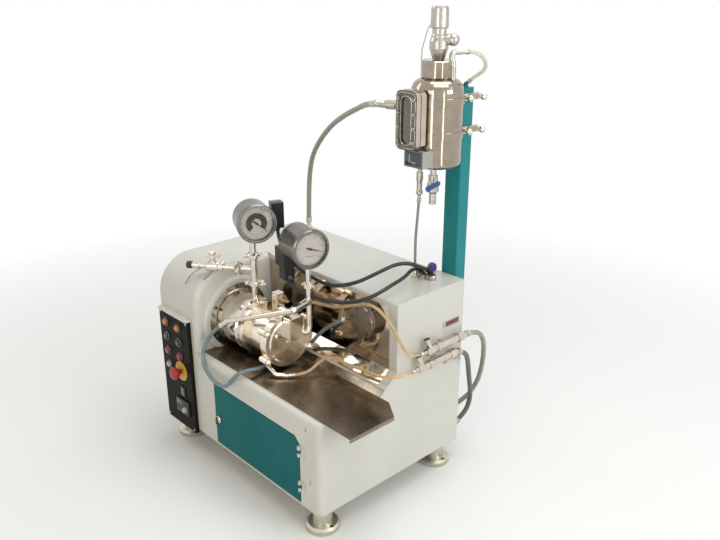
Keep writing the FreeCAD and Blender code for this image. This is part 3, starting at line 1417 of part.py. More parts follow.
def bottle_shape(inset):
    """Turned outline of the tank: dished bottom, straight wall, domed shoulder, lid neck."""
    height = tank_shoulder - tank_bottom
    rise = neck_bottom - tank_shoulder
    radius = tank_radius - inset
    neck = lid_radius - 6 - inset
    profile = [(inset, 0), (inset, radius - 20), (3 + inset, radius - 9), (9 + inset, radius - 2),
               (15 + inset, radius), (height, radius)]
    steps = 5
    for step in range(1, steps + 1):
        angle = radians(90.0 * step / (steps + 1))
        profile.append((height + (rise - inset) * sin(angle), neck + (radius - neck) * cos(angle)))
    top = height + rise - inset
    profile.append((top, neck))
    if inset == 0:
        profile += [(top, lid_radius), (top + 3, lid_radius + 1), (top + lid_height - 3, lid_radius + 1),
                    (top + lid_height, lid_radius - 2), (top + lid_height, 0)]
    else:
        profile.append((top, 0))
    return turned(profile, (tank_x, tank_y, tank_bottom), up)


def seal_tank():
    return bottle_shape(0).cut(bottle_shape(tank_wall))


def sight_glass_frame():
    """Level glass body with two cover bolts rows, standing off the tank on two necks."""
    x = column_x - 2
    z0 = sight_centre_height - sight_height / 2
    z1 = sight_centre_height + sight_height / 2
    body = box(x - sight_width / 2, x + sight_width / 2, sight_y0, sight_y0 + sight_depth, z0, z1)
    body = rounded(body, sight_corner_radius, lambda e: runs_along(e, 1))
    half = sight_window_width / 2
    recess = box(x - half - 4, x + half + 4, sight_y0 - 1, sight_y0 + 4, z0 + 14, z1 - 14)
    recess = rounded(recess, half + 3, lambda e: runs_along(e, 1))
    seat = box(x - half, x + half, sight_y0, sight_y0 + 12, z0 + 18, z1 - 18)
    seat = rounded(seat, half - 0.5, lambda e: runs_along(e, 1))
    body = body.cut(recess).cut(seat)
    reach = tank_y - tank_radius * 0.9 - (sight_y0 + sight_depth)
    necks = []
    for z in (z0 + 22, z1 - 22):
        necks.append(rod((x, sight_y0 + sight_depth - 17, z), along_y, 9, reach + 8))
    whole = join([body] + necks)
    whole = whole.cut(rod((tank_x, tank_y, z0), up, tank_radius, sight_height))
    bolts = []
    for row in range(4):
        z = z0 + 20 + row * (sight_height - 40) / 3
        for side in (-1, 1):
            bolts.append(turned([(0, 0), (0, 4.6), (4, 4.6), (6, 2.5), (6.4, 0)],
                                (x + side * (sight_width / 2 - 9), sight_y0, z), V(0, -1, 0)))
    return [whole] + bolts


def tank_clamps():
    """Hoops round the tank, each with arms beside the column, a tie bolt and an eye nut."""
    solids = []
    for z in clamp_heights:
        hoop = tube((tank_x, tank_y, z - 9), up, tank_radius + 2.5, tank_radius, 18)
        arms = []
        x0 = column_x - column_width / 2
        x1 = column_x + column_width / 2
        for low, high in ((x0 - 4, x0), (x1, x1 + 4)):
            arms.append(box(low, high, tank_y + 40, y_back + column_depth + 14, z - 9, z + 9))
        body = join([hoop] + arms).cut(rod((tank_x, tank_y, z - 12), up, tank_radius, 24))
        y = y_back + column_depth + 6
        tie = rod((x0 - 9, y, z), along_x, 3.5, column_width + 38)
        side_stud = rod((x1, y_back - 3.5, z), along_x, 4, 22)
        knobs = [Part.makeSphere(9, V(x1 + 24, y_back - 3.5, z)), Part.makeSphere(9, V(x1 + 26, y, z))]
        nuts = [rod((x0 - 10, y, z), along_x, 7, 6), rod((x1 + 4, y, z), along_x, 8, 8)]
        body = join([body, tie, side_stud] + knobs + nuts)
        solids.append(body.cut(box(x0, x1, y_back, y_back + column_depth, z - 20, z + 20)))
    return solids


drain_x = tank_x - 4.0
supply_x = tank_x - 50.0


def tank_fittings():
    """Top relief valve and cap, left hose fitting, bottom nipple, drain valve and top elbow."""
    lid_top = neck_bottom + lid_height
    valve = turned([(0, 0), (0, 14), (10, 18), (26, 23), (44, 23), (52, 19), (56, 19), (60, 17), (72, 17),
                    (72, 20), (76, 22), (118, 21), (122, 19), (123, 0)], (tank_x, tank_y, lid_top), up)
    side_port = rod((tank_x, tank_y, lid_top + 46), V(0.75, 0.66, 0), 13, 36)
    side_ball = Part.makeSphere(15, V(tank_x + 26, tank_y + 22, lid_top + 46))
    lug = rod((tank_x - 26, tank_y - 6, lid_top + 76), along_x, 3, 10)
    top = join([valve, side_port, side_ball, lug])
    nipple = turned([(0, 0), (0, 6), (35, 6), (35, 9), (56, 9), (58, 7.5), (82, 7.5), (84, 9), (92, 9),
                     (96, 5), (96, 0)], (supply_x, tank_y, tank_bottom + 10), V(0, 0, -1))
    nipple_port = (supply_x, tank_y, tank_bottom - 76)
    nipple = join([nipple.cut(bottle_shape(0)), hose_port(nipple_port, "tank_return_hose", False, 4.5, 4)])
    drain = turned([(0, 0), (0, 8), (24, 8), (24, 12), (40, 12), (46, 15), (66, 15), (72, 9), (100, 9),
                    (100, 4), (60, 4), (60, 0)], (drain_x, tank_y, tank_bottom), V(0, 0, -1))
    drain = drain.cut(rod((drain_x, tank_y - 30, drain_valve_z), along_y, 3 + fit_gap, 60))
    elbow_x = tank_x + 32
    elbow_y = tank_y + 7
    elbow_z = tank_shoulder + 92
    elbow = bent_pipe([(elbow_x + 10, elbow_y, tank_shoulder + 4), (elbow_x + 10, elbow_y, elbow_z - 30),
                       (elbow_x, elbow_y, elbow_z), (elbow_x + 15, elbow_y + 25, elbow_z)], 6.5, 11)
    elbow_port = (elbow_x + 12, elbow_y + 20, elbow_z)
    elbow = join([elbow.cut(bottle_shape(0)), hose_port(elbow_port, "clear_hose", False, 5.5, 4)])
    capillary = bent_pipe([(tank_x - 19, tank_y, lid_top + 88), (tank_x - 30, tank_y - 8, lid_top + 70),
                           (tank_x - 44, tank_y - 12, lid_top + 20), (tank_x - 46, tank_y - 10, lid_top - 20),
                           (tank_x - lid_radius + 4, tank_y - 2, lid_top - 30)], 1.5, 10)
    top = top.fuse(capillary).cut(bottle_shape(0)).removeSplitter()
    left = fitting_run()
    return [top, nipple, drain, elbow, left]


supply_way = V(-0.9293, -0.3693, 0)


def fitting_run():
    start = V(tank_x, tank_y, supply_height)
    wall = tank_radius - 4
    run = turned([(wall, 0), (wall, 7), (wall + 18, 7), (wall + 18, 11), (wall + 36, 11), (wall + 36, 8),
                  (wall + 48, 8), (wall + 48, 12), (wall + 72, 12), (wall + 72, 9.5), (wall + 96, 9),
                  (wall + 96, 0)], start, supply_way)
    run = run.fuse(hose_port(start + supply_way * (wall + 80), "tank_supply_hose", True, 9, 4))
    grip = rod(start + supply_way * (wall + 27), up, 6, 18)
    return join([run, grip]).cut(rod((tank_x, tank_y, supply_height - 40), up, tank_radius, 80))


def drain_lever():
    """Flat lever on the drain valve, turning about the valve's cross stem."""
    stem = rod((0, -17, 0), along_y, 3.0, 19)
    hub = rod((0, -20, 0), along_y, 7.5, 4.2)
    arm = box(-4, 46, -20, -17, -6, 6)
    arm = rounded(arm, 5.0, lambda e: runs_along(e, 1))
    lever = join([stem, hub, arm])
    lever.rotate(V(0, 0, 0), along_y, -32)
    lever.translate(V(drain_x, tank_y, drain_valve_z))
    return lever


# Water pipes on the near end panel

def water_line(start_y, height, tube, hose):
    """Pipe with unions, a plugged stub and a saddle to the end panel."""
    x = x_near + water_pipe_standoff
    pipe = turned([(4, 0), (4, 6.5), (14, 6.5), (14, 11), (22, 11), (22, water_pipe_radius),
                   (52, water_pipe_radius), (52, 13), (60, 13), (60, water_pipe_radius),
                   (water_pipe_length - 34, water_pipe_radius), (water_pipe_length - 34, 13.5),
                   (water_pipe_length - 14, 13.5), (water_pipe_length - 14, 9),
                   (water_pipe_length - 4, 9), (water_pipe_length - 4, 0)], (x, start_y, height), along_y)
    near_tail = hose_port((x, start_y + 10, height), tube[0], tube[1], 4.5, 3)
    far_tail = hose_port((x, start_y + water_pipe_length - 12, height), hose, False, 7, 3)
    stub = rod((x, start_y + 30, height), stub_way, 7.5, 24)
    saddle = box(x_near, x, start_y + 84, start_y + 100, height - 7, height + 7)
    return join([pipe, near_tail, far_tail, stub, saddle])


def sheet_fitting(place, way, thread, hose, last):
    """Hose fitting through a sheet, from its thread to the hose."""
    body = turned([(-6, 0), (-6, thread), (0, thread), (0, thread * 1.5), (7, thread * 1.5), (7, thread),
                   (18, thread), (18, 0)], place, way)
    return join([body, hose_port(V(*place) + way * 12, hose, last, thread * 0.9, 3)])


stub_way = V(-0.25, -0.25, 1)


def water_pipes():
    solids = [water_line(lower_water_start, lower_water_height, ("lower_water_tube", True), "water_hose_inner"),
              water_line(upper_water_start, upper_water_height, ("upper_water_tube", False), "water_hose_outer")]
    x = x_near + water_pipe_standoff
    plug_way = V(*stub_way).normalize()
    for start_y, height in ((lower_water_start, lower_water_height), (upper_water_start, upper_water_height)):
        start = V(x, start_y + 30, height) + plug_way * 24
        solids.append(rod(start, plug_way, 8.5, 9))
    for (x, z), hose in zip(rear_fitting_places, ("water_hose_outer", "water_hose_inner")):
        solids.append(sheet_fitting((x, y_back, z), along_y, rear_fitting_hole, hose, True))
    place = (tower_front + tower_top_fitting[0], y_back + tower_top_fitting[1], z_top)
    solids.append(sheet_fitting(place, up, hose_fitting_hole, "tank_supply_hose", False))
    solids.append(sheet_fitting((*top_hose_place, z_top), up, hose_fitting_hole, "tank_return_hose", True))
    return solids


def regulator_knob():
    x, y = regulator_place
    return turned([(-8, 0), (-8, regulator_stem_radius), (4, regulator_stem_radius), (4, 12), (10, 13), (16, 12),
                   (21, 8), (23, 0)], (x, y, z_top), up)


# Hoses and cables

def cord_tube(name, points, diameter):
    """Tube of straight runs joined by tangent arcs, each arc as large as its runs allow."""
    places = [V(*point) for point in points]
    edges = []
    radii = []
    length = 0.0
    last = places[0]
    for i in range(1, len(places) - 1):
        before = places[i] - places[i - 1]
        after = places[i + 1] - places[i]
        turn = acos(max(-1.0, min(1.0, before.dot(after) / before.Length / after.Length)))
        back = 0.45 * min(before.Length, after.Length)
        radius = back / tan(turn / 2)
        radii.append(radius)
        a = V(before).normalize()
        b = V(after).normalize()
        start = places[i] - a * back
        end = places[i] + b * back
        middle = places[i] + (b - a).normalize() * (radius / cos(turn / 2) - radius)
        edges.append(Part.makeLine(last, start))
        edges.append(Part.Arc(start, middle, end).toShape())
        length += (start - last).Length + radius * turn
        last = end
    edges.append(Part.makeLine(last, places[-1]))
    length += (places[-1] - last).Length
    circle = Part.Wire([Part.makeCircle(diameter / 2, places[0], places[1] - places[0])])
    solid = Part.Wire(edges).makePipeShell([circle], True, False)
    expected = pi * diameter ** 2 / 4 * length
    print(name, "length %.0f" % length, "radii", " ".join("%.0f" % r for r in radii),
          "volume ratio %.4f" % (solid.Volume / expected))
    return solid


os.makedirs("parts", exist_ok=True)

makers = [
    levelling_feet, base_pan, front_panel, end_panel, rear_panel, tower_hood, tower_end_cover,
    rear_box_cover, alcove_liner, drip_tray, service_door, door_hinges, door_latch, control_panel,
    panel_fittings, estop_button, speed_knob, motor_housing, motor_rotor, drive_belt, spindle_shaft,
    bearing_housing, agitator_discs, separator_housing, separator_screen, chamber_jacket,
    chamber_liner, end_cover, inlet_pipework, fill_port, outlet_pipework, pipe_clamps,
    sampling_handle, gauge_cases, instrument_windows, outlet_gauge_needle, inlet_gauge_needle,
    instrument_boxes, pump_head, column, seal_tank, sight_glass_frame, tank_clamps, tank_fittings,
    drain_lever, water_pipes, regulator_knob]

for maker in makers:
    save(maker.__name__, maker())

save("start_button", push_button(1))
save("stop_button", push_button(2))
save("spindle_pulley", pulley(spindle_pulley_radius, shaft_radius, axis_y, axis_z))

for name, (diameter, points) in cord_paths.items():
    save(name, cord_tube(name, points, diameter))
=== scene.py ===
import math

import bmesh
import bpy
from mathutils import Matrix, Vector


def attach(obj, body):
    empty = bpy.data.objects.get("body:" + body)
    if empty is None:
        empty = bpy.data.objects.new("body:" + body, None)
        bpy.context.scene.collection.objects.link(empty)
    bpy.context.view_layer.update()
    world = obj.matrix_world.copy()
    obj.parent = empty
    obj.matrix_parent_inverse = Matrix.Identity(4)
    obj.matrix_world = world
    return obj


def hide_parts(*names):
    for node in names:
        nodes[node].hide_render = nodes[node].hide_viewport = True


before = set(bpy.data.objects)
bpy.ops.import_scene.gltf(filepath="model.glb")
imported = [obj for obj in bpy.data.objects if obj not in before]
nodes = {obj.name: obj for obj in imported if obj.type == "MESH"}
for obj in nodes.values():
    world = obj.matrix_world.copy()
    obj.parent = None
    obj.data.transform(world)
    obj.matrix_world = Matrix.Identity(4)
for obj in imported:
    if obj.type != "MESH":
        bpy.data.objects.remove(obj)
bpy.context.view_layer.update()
mm = 0.001

# Places shared with the solids, in millimetres
spindleY = -124.0
spindleZ = 418.0
flangeFace = -156.0
coverFace = 72.0
panelFace = -271.0
leftColumn = -316.0
rightColumn = -252.0
rowHeights = (389.0, 343.0, 297.0, 251.0)
tankPlace = (300.0, 186.0)
nearEnd = 355.0
stemX = -70.0


def vec(x, y, z):
    return Vector((x * mm, y * mm, z * mm))


def linkObject(name, data):
    thing = bpy.data.objects.new(name, data)
    bpy.context.scene.collection.objects.link(thing)
    return thing


# Camera at the photograph's angle
cameraData = bpy.data.cameras.new("photoCamera")
cameraData.lens = 38.76
cameraData.sensor_width = 36.0
cameraData.clip_start = 0.01
cameraObject = linkObject("photoCamera", cameraData)
cameraObject.location = (1.5717, -1.2695, 1.3437)
cameraObject.rotation_euler = [math.radians(turn) for turn in (68.911, 0.0, 46.752)]
bpy.context.scene.camera = cameraObject
bpy.context.scene.view_settings.view_transform = "Standard"
print("stage: camera")


# Shader groups shared by the materials

def newGroup(name, inputs, outputs):  # inputs come with their first values
    group = bpy.data.node_groups.new(name, "ShaderNodeTree")
    for label, value in inputs.items():
        kind = "NodeSocketVector" if isinstance(value, tuple) else "NodeSocketFloat"
        socket = group.interface.new_socket(name=label, in_out="INPUT", socket_type=kind)
        socket.default_value = value
    for label in outputs:
        kind = "NodeSocketVector" if label == "Normal" else "NodeSocketFloat"
        group.interface.new_socket(name=label, in_out="OUTPUT", socket_type=kind)
    return group, group.nodes.new("NodeGroupInput").outputs, group.nodes.new("NodeGroupOutput")


def closeGroup(group, end, **results):
    for label, socket in results.items():
        group.links.new(socket, end.inputs[label])
    return group


def feed(tree, socket, value):  # a number or a link
    if isinstance(value, (int, float)):
        socket.default_value = value
    else:
        tree.links.new(value, socket)


def math2(tree, operation, a, b, clamp=False):
    node = tree.nodes.new("ShaderNodeMath")
    node.operation = operation
    node.use_clamp = clamp
    feed(tree, node.inputs[0], a)
    feed(tree, node.inputs[1], b)
    return node.outputs[0]


def remap(tree, value, low, high, toLow, toHigh):
    node = tree.nodes.new("ShaderNodeMapRange")
    tree.links.new(value, node.inputs["Value"])
    for label, number in (("From Min", low), ("From Max", high), ("To Min", toLow), ("To Max", toHigh)):
        feed(tree, node.inputs[label], number)
    return node.outputs["Result"]


def noise(tree, vector, scale, detail=4.0, rough=0.55):
    node = tree.nodes.new("ShaderNodeTexNoise")
    tree.links.new(vector, node.inputs["Vector"])
    feed(tree, node.inputs["Scale"], scale)
    node.inputs["Detail"].default_value = detail
    node.inputs["Roughness"].default_value = rough
    return node.outputs["Fac"]


def objectPlace(tree):
    return tree.nodes.new("ShaderNodeTexCoord").outputs["Object"]


def makePeelGroup():
    group, start, end = newGroup("paintPeel", {"Scale": 650.0}, ("Height", "Drift"))
    place = objectPlace(group)
    fine = noise(group, place, start["Scale"], 2.0)
    return closeGroup(group, end, Height=fine, Drift=noise(group, place, 5.0, 5.0, 0.62))


def makeBrushGroup():
    group, start, end = newGroup("brushLines", {"Stretch": (40.0, 40.0, 1800.0)}, ("Grain",))
    mapping = group.nodes.new("ShaderNodeMapping")
    group.links.new(objectPlace(group), mapping.inputs["Vector"])
    group.links.new(start["Stretch"], mapping.inputs["Scale"])
    return closeGroup(group, end, Grain=noise(group, mapping.outputs["Vector"], 1.0, 3.0, 0.7))


def makeHandlingGroup():
    group, start, end = newGroup("handlingMarks", {"Size": 28.0}, ("Smudge", "Scratch", "Wave"))
    place = objectPlace(group)
    smear = noise(group, place, start["Size"], 6.0, 0.6)
    mapping = group.nodes.new("ShaderNodeMapping")
    mapping.inputs["Scale"].default_value = (900.0, 120.0, 160.0)
    mapping.inputs["Rotation"].default_value = (0.4, 0.9, 0.3)
    group.links.new(place, mapping.inputs["Vector"])
    hair = remap(group, noise(group, mapping.outputs["Vector"], 1.0, 2.0), 0.62, 0.7, 0.0, 1.0)
    return closeGroup(group, end, Smudge=smear, Scratch=hair, Wave=noise(group, place, 9.0, 1.5))


def makeEdgeGroup():
    group, start, end = newGroup("roundedEdge", {"Radius": 0.0008}, ("Normal", "Edge"))
    bevel = group.nodes.new("ShaderNodeBevel")
    bevel.samples = 4
    group.links.new(start["Radius"], bevel.inputs["Radius"])
    geometry = group.nodes.new("ShaderNodeNewGeometry")
    dot = group.nodes.new("ShaderNodeVectorMath")
    dot.operation = "DOT_PRODUCT"
    group.links.new(bevel.outputs["Normal"], dot.inputs[0])
    group.links.new(geometry.outputs["Normal"], dot.inputs[1])
    edge = remap(group, dot.outputs["Value"], 0.99, 0.82, 0.0, 1.0)
    return closeGroup(group, end, Normal=bevel.outputs["Normal"], Edge=edge)


def makeGrimeGroup():
    group, start, end = newGroup("settledGrime", {"Amount": 0.5, "Sides": 0.3}, ("Mask",))
    patches = remap(group, noise(group, objectPlace(group), 11.0, 7.0, 0.65), 0.45, 0.75, 0.0, 1.0)
    geometry = group.nodes.new("ShaderNodeNewGeometry")
    split = group.nodes.new("ShaderNodeSeparateXYZ")
    group.links.new(geometry.outputs["Normal"], split.inputs[0])
    upward = remap(group, split.outputs["Z"], 0.2, 1.0, start["Sides"], 1.0)
    settled = math2(group, "MULTIPLY", patches, upward)
    return closeGroup(group, end, Mask=math2(group, "MULTIPLY", settled, start["Amount"], True))


def makeBraidGroup():
    group, start, end = newGroup("wireBraid", {"Turns": 12.0, "Along": 120.0}, ("Height", "Gap"))
    split = group.nodes.new("ShaderNodeSeparateXYZ")
    group.links.new(group.nodes.new("ShaderNodeTexCoord").outputs["UV"], split.inputs[0])
    lengthwise = math2(group, "MULTIPLY", split.outputs["X"], start["Along"])
    around = math2(group, "MULTIPLY", split.outputs["Y"], start["Turns"])
    wires = []
    for sign in ("ADD", "SUBTRACT"):
        phase = math2(group, "MULTIPLY", math2(group, sign, lengthwise, around), 2 * math.pi)
        wires.append(math2(group, "ABSOLUTE", math2(group, "SINE", phase, 0.0), 0.0))
    height = math2(group, "MAXIMUM", *wires)
    return closeGroup(group, end, Height=height, Gap=remap(group, height, 0.45, 0.75, 1.0, 0.0))


peelGroup = makePeelGroup()
brushGroup = makeBrushGroup()
handlingGroup = makeHandlingGroup()
edgeGroup = makeEdgeGroup()
grimeGroup = makeGrimeGroup()
braidGroup = makeBraidGroup()
print("stage: shader groups")


def useGroup(tree, group, **values):
    node = tree.nodes.new("ShaderNodeGroup")
    node.node_tree = group
    for label, value in values.items():
        node.inputs[label].default_value = value
    return node


def mixColour(tree, factor, a, b):
    node = tree.nodes.new("ShaderNodeMix")
    node.data_type = "RGBA"
    feed(tree, node.inputs["Factor"], factor)
    for socket, value in ((node.inputs[6], a), (node.inputs[7], b)):
        if isinstance(value, tuple):
            socket.default_value = (*value, 1.0)
        else:
            tree.links.new(value, socket)
    return node.outputs[2]


def bump(tree, height, strength, distance, normal=None):
    node = tree.nodes.new("ShaderNodeBump")
    node.inputs["Strength"].default_value = strength
    node.inputs["Distance"].default_value = distance
    tree.links.new(height, node.inputs["Height"])
    if normal is not None:
        tree.links.new(normal, node.inputs["Normal"])
    return node.outputs["Normal"]


def startMaterial(name, sockets):
    material = bpy.data.materials.new(name)
    material.use_nodes = True
    tree = material.node_tree
    shader = tree.nodes["Principled BSDF"]
    for label, value in sockets.items():
        shader.inputs[label].default_value = value
    return material, tree, shader


def twoTones(tree, value, low, high, spec):
    return mixColour(tree, remap(tree, value, low, high, 0.0, 1.0), spec["colour"], spec["shade"])


def twoRoughs(tree, value, low, high, spec):
    return remap(tree, value, low, high, *spec["roughness"])


def wireShader(tree, shader, tone, rough, normal=None):
    tree.links.new(tone, shader.inputs["Base Color"])
    tree.links.new(rough, shader.inputs["Roughness"])
    if normal is not None:
        tree.links.new(normal, shader.inputs["Normal"])


def paintMaterial(spec):
    material, tree, shader = startMaterial(spec["name"], spec.get("sockets", {}))
    peel = useGroup(tree, peelGroup, Scale=spec.get("peel", 650.0))
    edge = useGroup(tree, edgeGroup, Radius=0.0012)
    grime = useGroup(tree, grimeGroup, Amount=spec.get("grime", 0.25), Sides=spec.get("grimeSides", 0.3))
    drift = peel.outputs["Drift"]
    tone = twoTones(tree, drift, 0.35, 0.65, spec)
    tone = mixColour(tree, grime.outputs["Mask"], tone, spec.get("grimeColour", (0.30, 0.27, 0.20)))
    # Edges turn towards a lighter edge colour: partly real paint wear, partly a painted highlight along the
    # edges
    wornAndLitEdge = math2(tree, "MULTIPLY", edge.outputs["Edge"],
                 remap(tree, drift, 0.5, 0.6, 0.0, spec.get("wear", 0.5)))
    tone = mixColour(tree, wornAndLitEdge, tone, spec.get("wearColour", (0.66, 0.65, 0.60)))
    normal = bump(tree, peel.outputs["Height"], 0.12, 0.0004, edge.outputs["Normal"])
    wireShader(tree, shader, tone, twoRoughs(tree, drift, 0.3, 0.7, spec), normal)
    return material


def metalMaterial(spec):
    material, tree, shader = startMaterial(spec["name"], {"Metallic": 1.0})
    marks = useGroup(tree, handlingGroup, Size=spec.get("smearSize", 28.0))
    edge = useGroup(tree, edgeGroup, Radius=0.0007)
    grime = useGroup(tree, grimeGroup, Amount=spec.get("grime", 0.15), Sides=0.3)
    smudge, scratch = marks.outputs["Smudge"], marks.outputs["Scratch"]
    tone = twoTones(tree, smudge, 0.35, 0.7, spec)
    tone = mixColour(tree, grime.outputs["Mask"], tone, spec.get("grimeColour", (0.20, 0.17, 0.12)))
    rough = twoRoughs(tree, smudge, 0.3, 0.75, spec)
    rough = math2(tree, "ADD", rough, math2(tree, "MULTIPLY", scratch, 0.08))
    normal = edge.outputs["Normal"]
    if "brush" in spec:
        grain = useGroup(tree, brushGroup, Stretch=spec["brush"]).outputs["Grain"]
        rough = math2(tree, "ADD", rough, remap(tree, grain, 0.3, 0.7, -0.06, 0.10))
        normal = bump(tree, grain, spec.get("brushDepth", 0.10), 0.0003, normal)
    if "wave" in spec:
        normal = bump(tree, marks.outputs["Wave"], spec["wave"], 0.004, normal)
    wireShader(tree, shader, tone, rough, bump(tree, scratch, 0.02, 0.0002, normal))
    return material


def plasticMaterial(spec):
    material, tree, shader = startMaterial(spec["name"], {})
    peel = useGroup(tree, peelGroup, Scale=spec.get("grain", 1400.0))
    edge = useGroup(tree, edgeGroup, Radius=0.0006)
    drift = peel.outputs["Drift"]
    tone = twoTones(tree, drift, 0.35, 0.65, spec)
    # Edges move a quarter of the way to a lighter edge colour: partly wear, partly a painted highlight along
    # the edges
    tone = mixColour(tree, math2(tree, "MULTIPLY", edge.outputs["Edge"], 0.25), tone,
                     spec.get("wearColour", spec["shade"]))
    normal = bump(tree, peel.outputs["Height"], spec.get("bump", 0.15), 0.0002, edge.outputs["Normal"])
    wireShader(tree, shader, tone, twoRoughs(tree, drift, 0.3, 0.7, spec), normal)
    return material


def hoseMaterial(spec):
    material, tree, shader = startMaterial(spec["name"], spec["sockets"])
    place = objectPlace(tree)
    cloud = noise(tree, place, spec.get("cloud", 40.0))
    tone = twoTones(tree, cloud, 0.35, 0.65, spec)
    normal = bump(tree, noise(tree, place, 300.0, 3.0), 0.08, 0.0005)
    wireShader(tree, shader, tone, twoRoughs(tree, cloud, 0.3, 0.7, spec), normal)
    return material


def braidMaterial(spec):
    material, tree, shader = startMaterial(spec["name"], {"Metallic": 0.85})
    weave = useGroup(tree, braidGroup, Turns=spec["turns"], Along=spec["along"])
    height = weave.outputs["Height"]
    tone = mixColour(tree, noise(tree, objectPlace(tree), 30.0), spec["colour"], spec["shade"])
    tone = mixColour(tree, weave.outputs["Gap"], tone, spec["gapColour"])
    normal = bump(tree, height, 0.7, 0.0008)
    wireShader(tree, shader, tone, twoRoughs(tree, height, 0.4, 1.0, spec), normal)
    return material


def glassMaterial(spec):
    material, tree, shader = startMaterial(spec["name"], spec["sockets"])
    smudge = useGroup(tree, handlingGroup, Size=60.0).outputs["Smudge"]
    tone = twoTones(tree, smudge, 0.3, 0.7, spec)
    wireShader(tree, shader, tone, twoRoughs(tree, smudge, 0.35, 0.75, spec))
    return material


def finish(colour, shade, roughness, **extra):
    return {"colour": colour, "shade": shade, "roughness": roughness, **extra}


def glossy(through, bending, coat, coatRough=0.03):
    return {"Transmission Weight": through, "IOR": bending, "Coat Weight": coat, "Coat Roughness": coatRough}


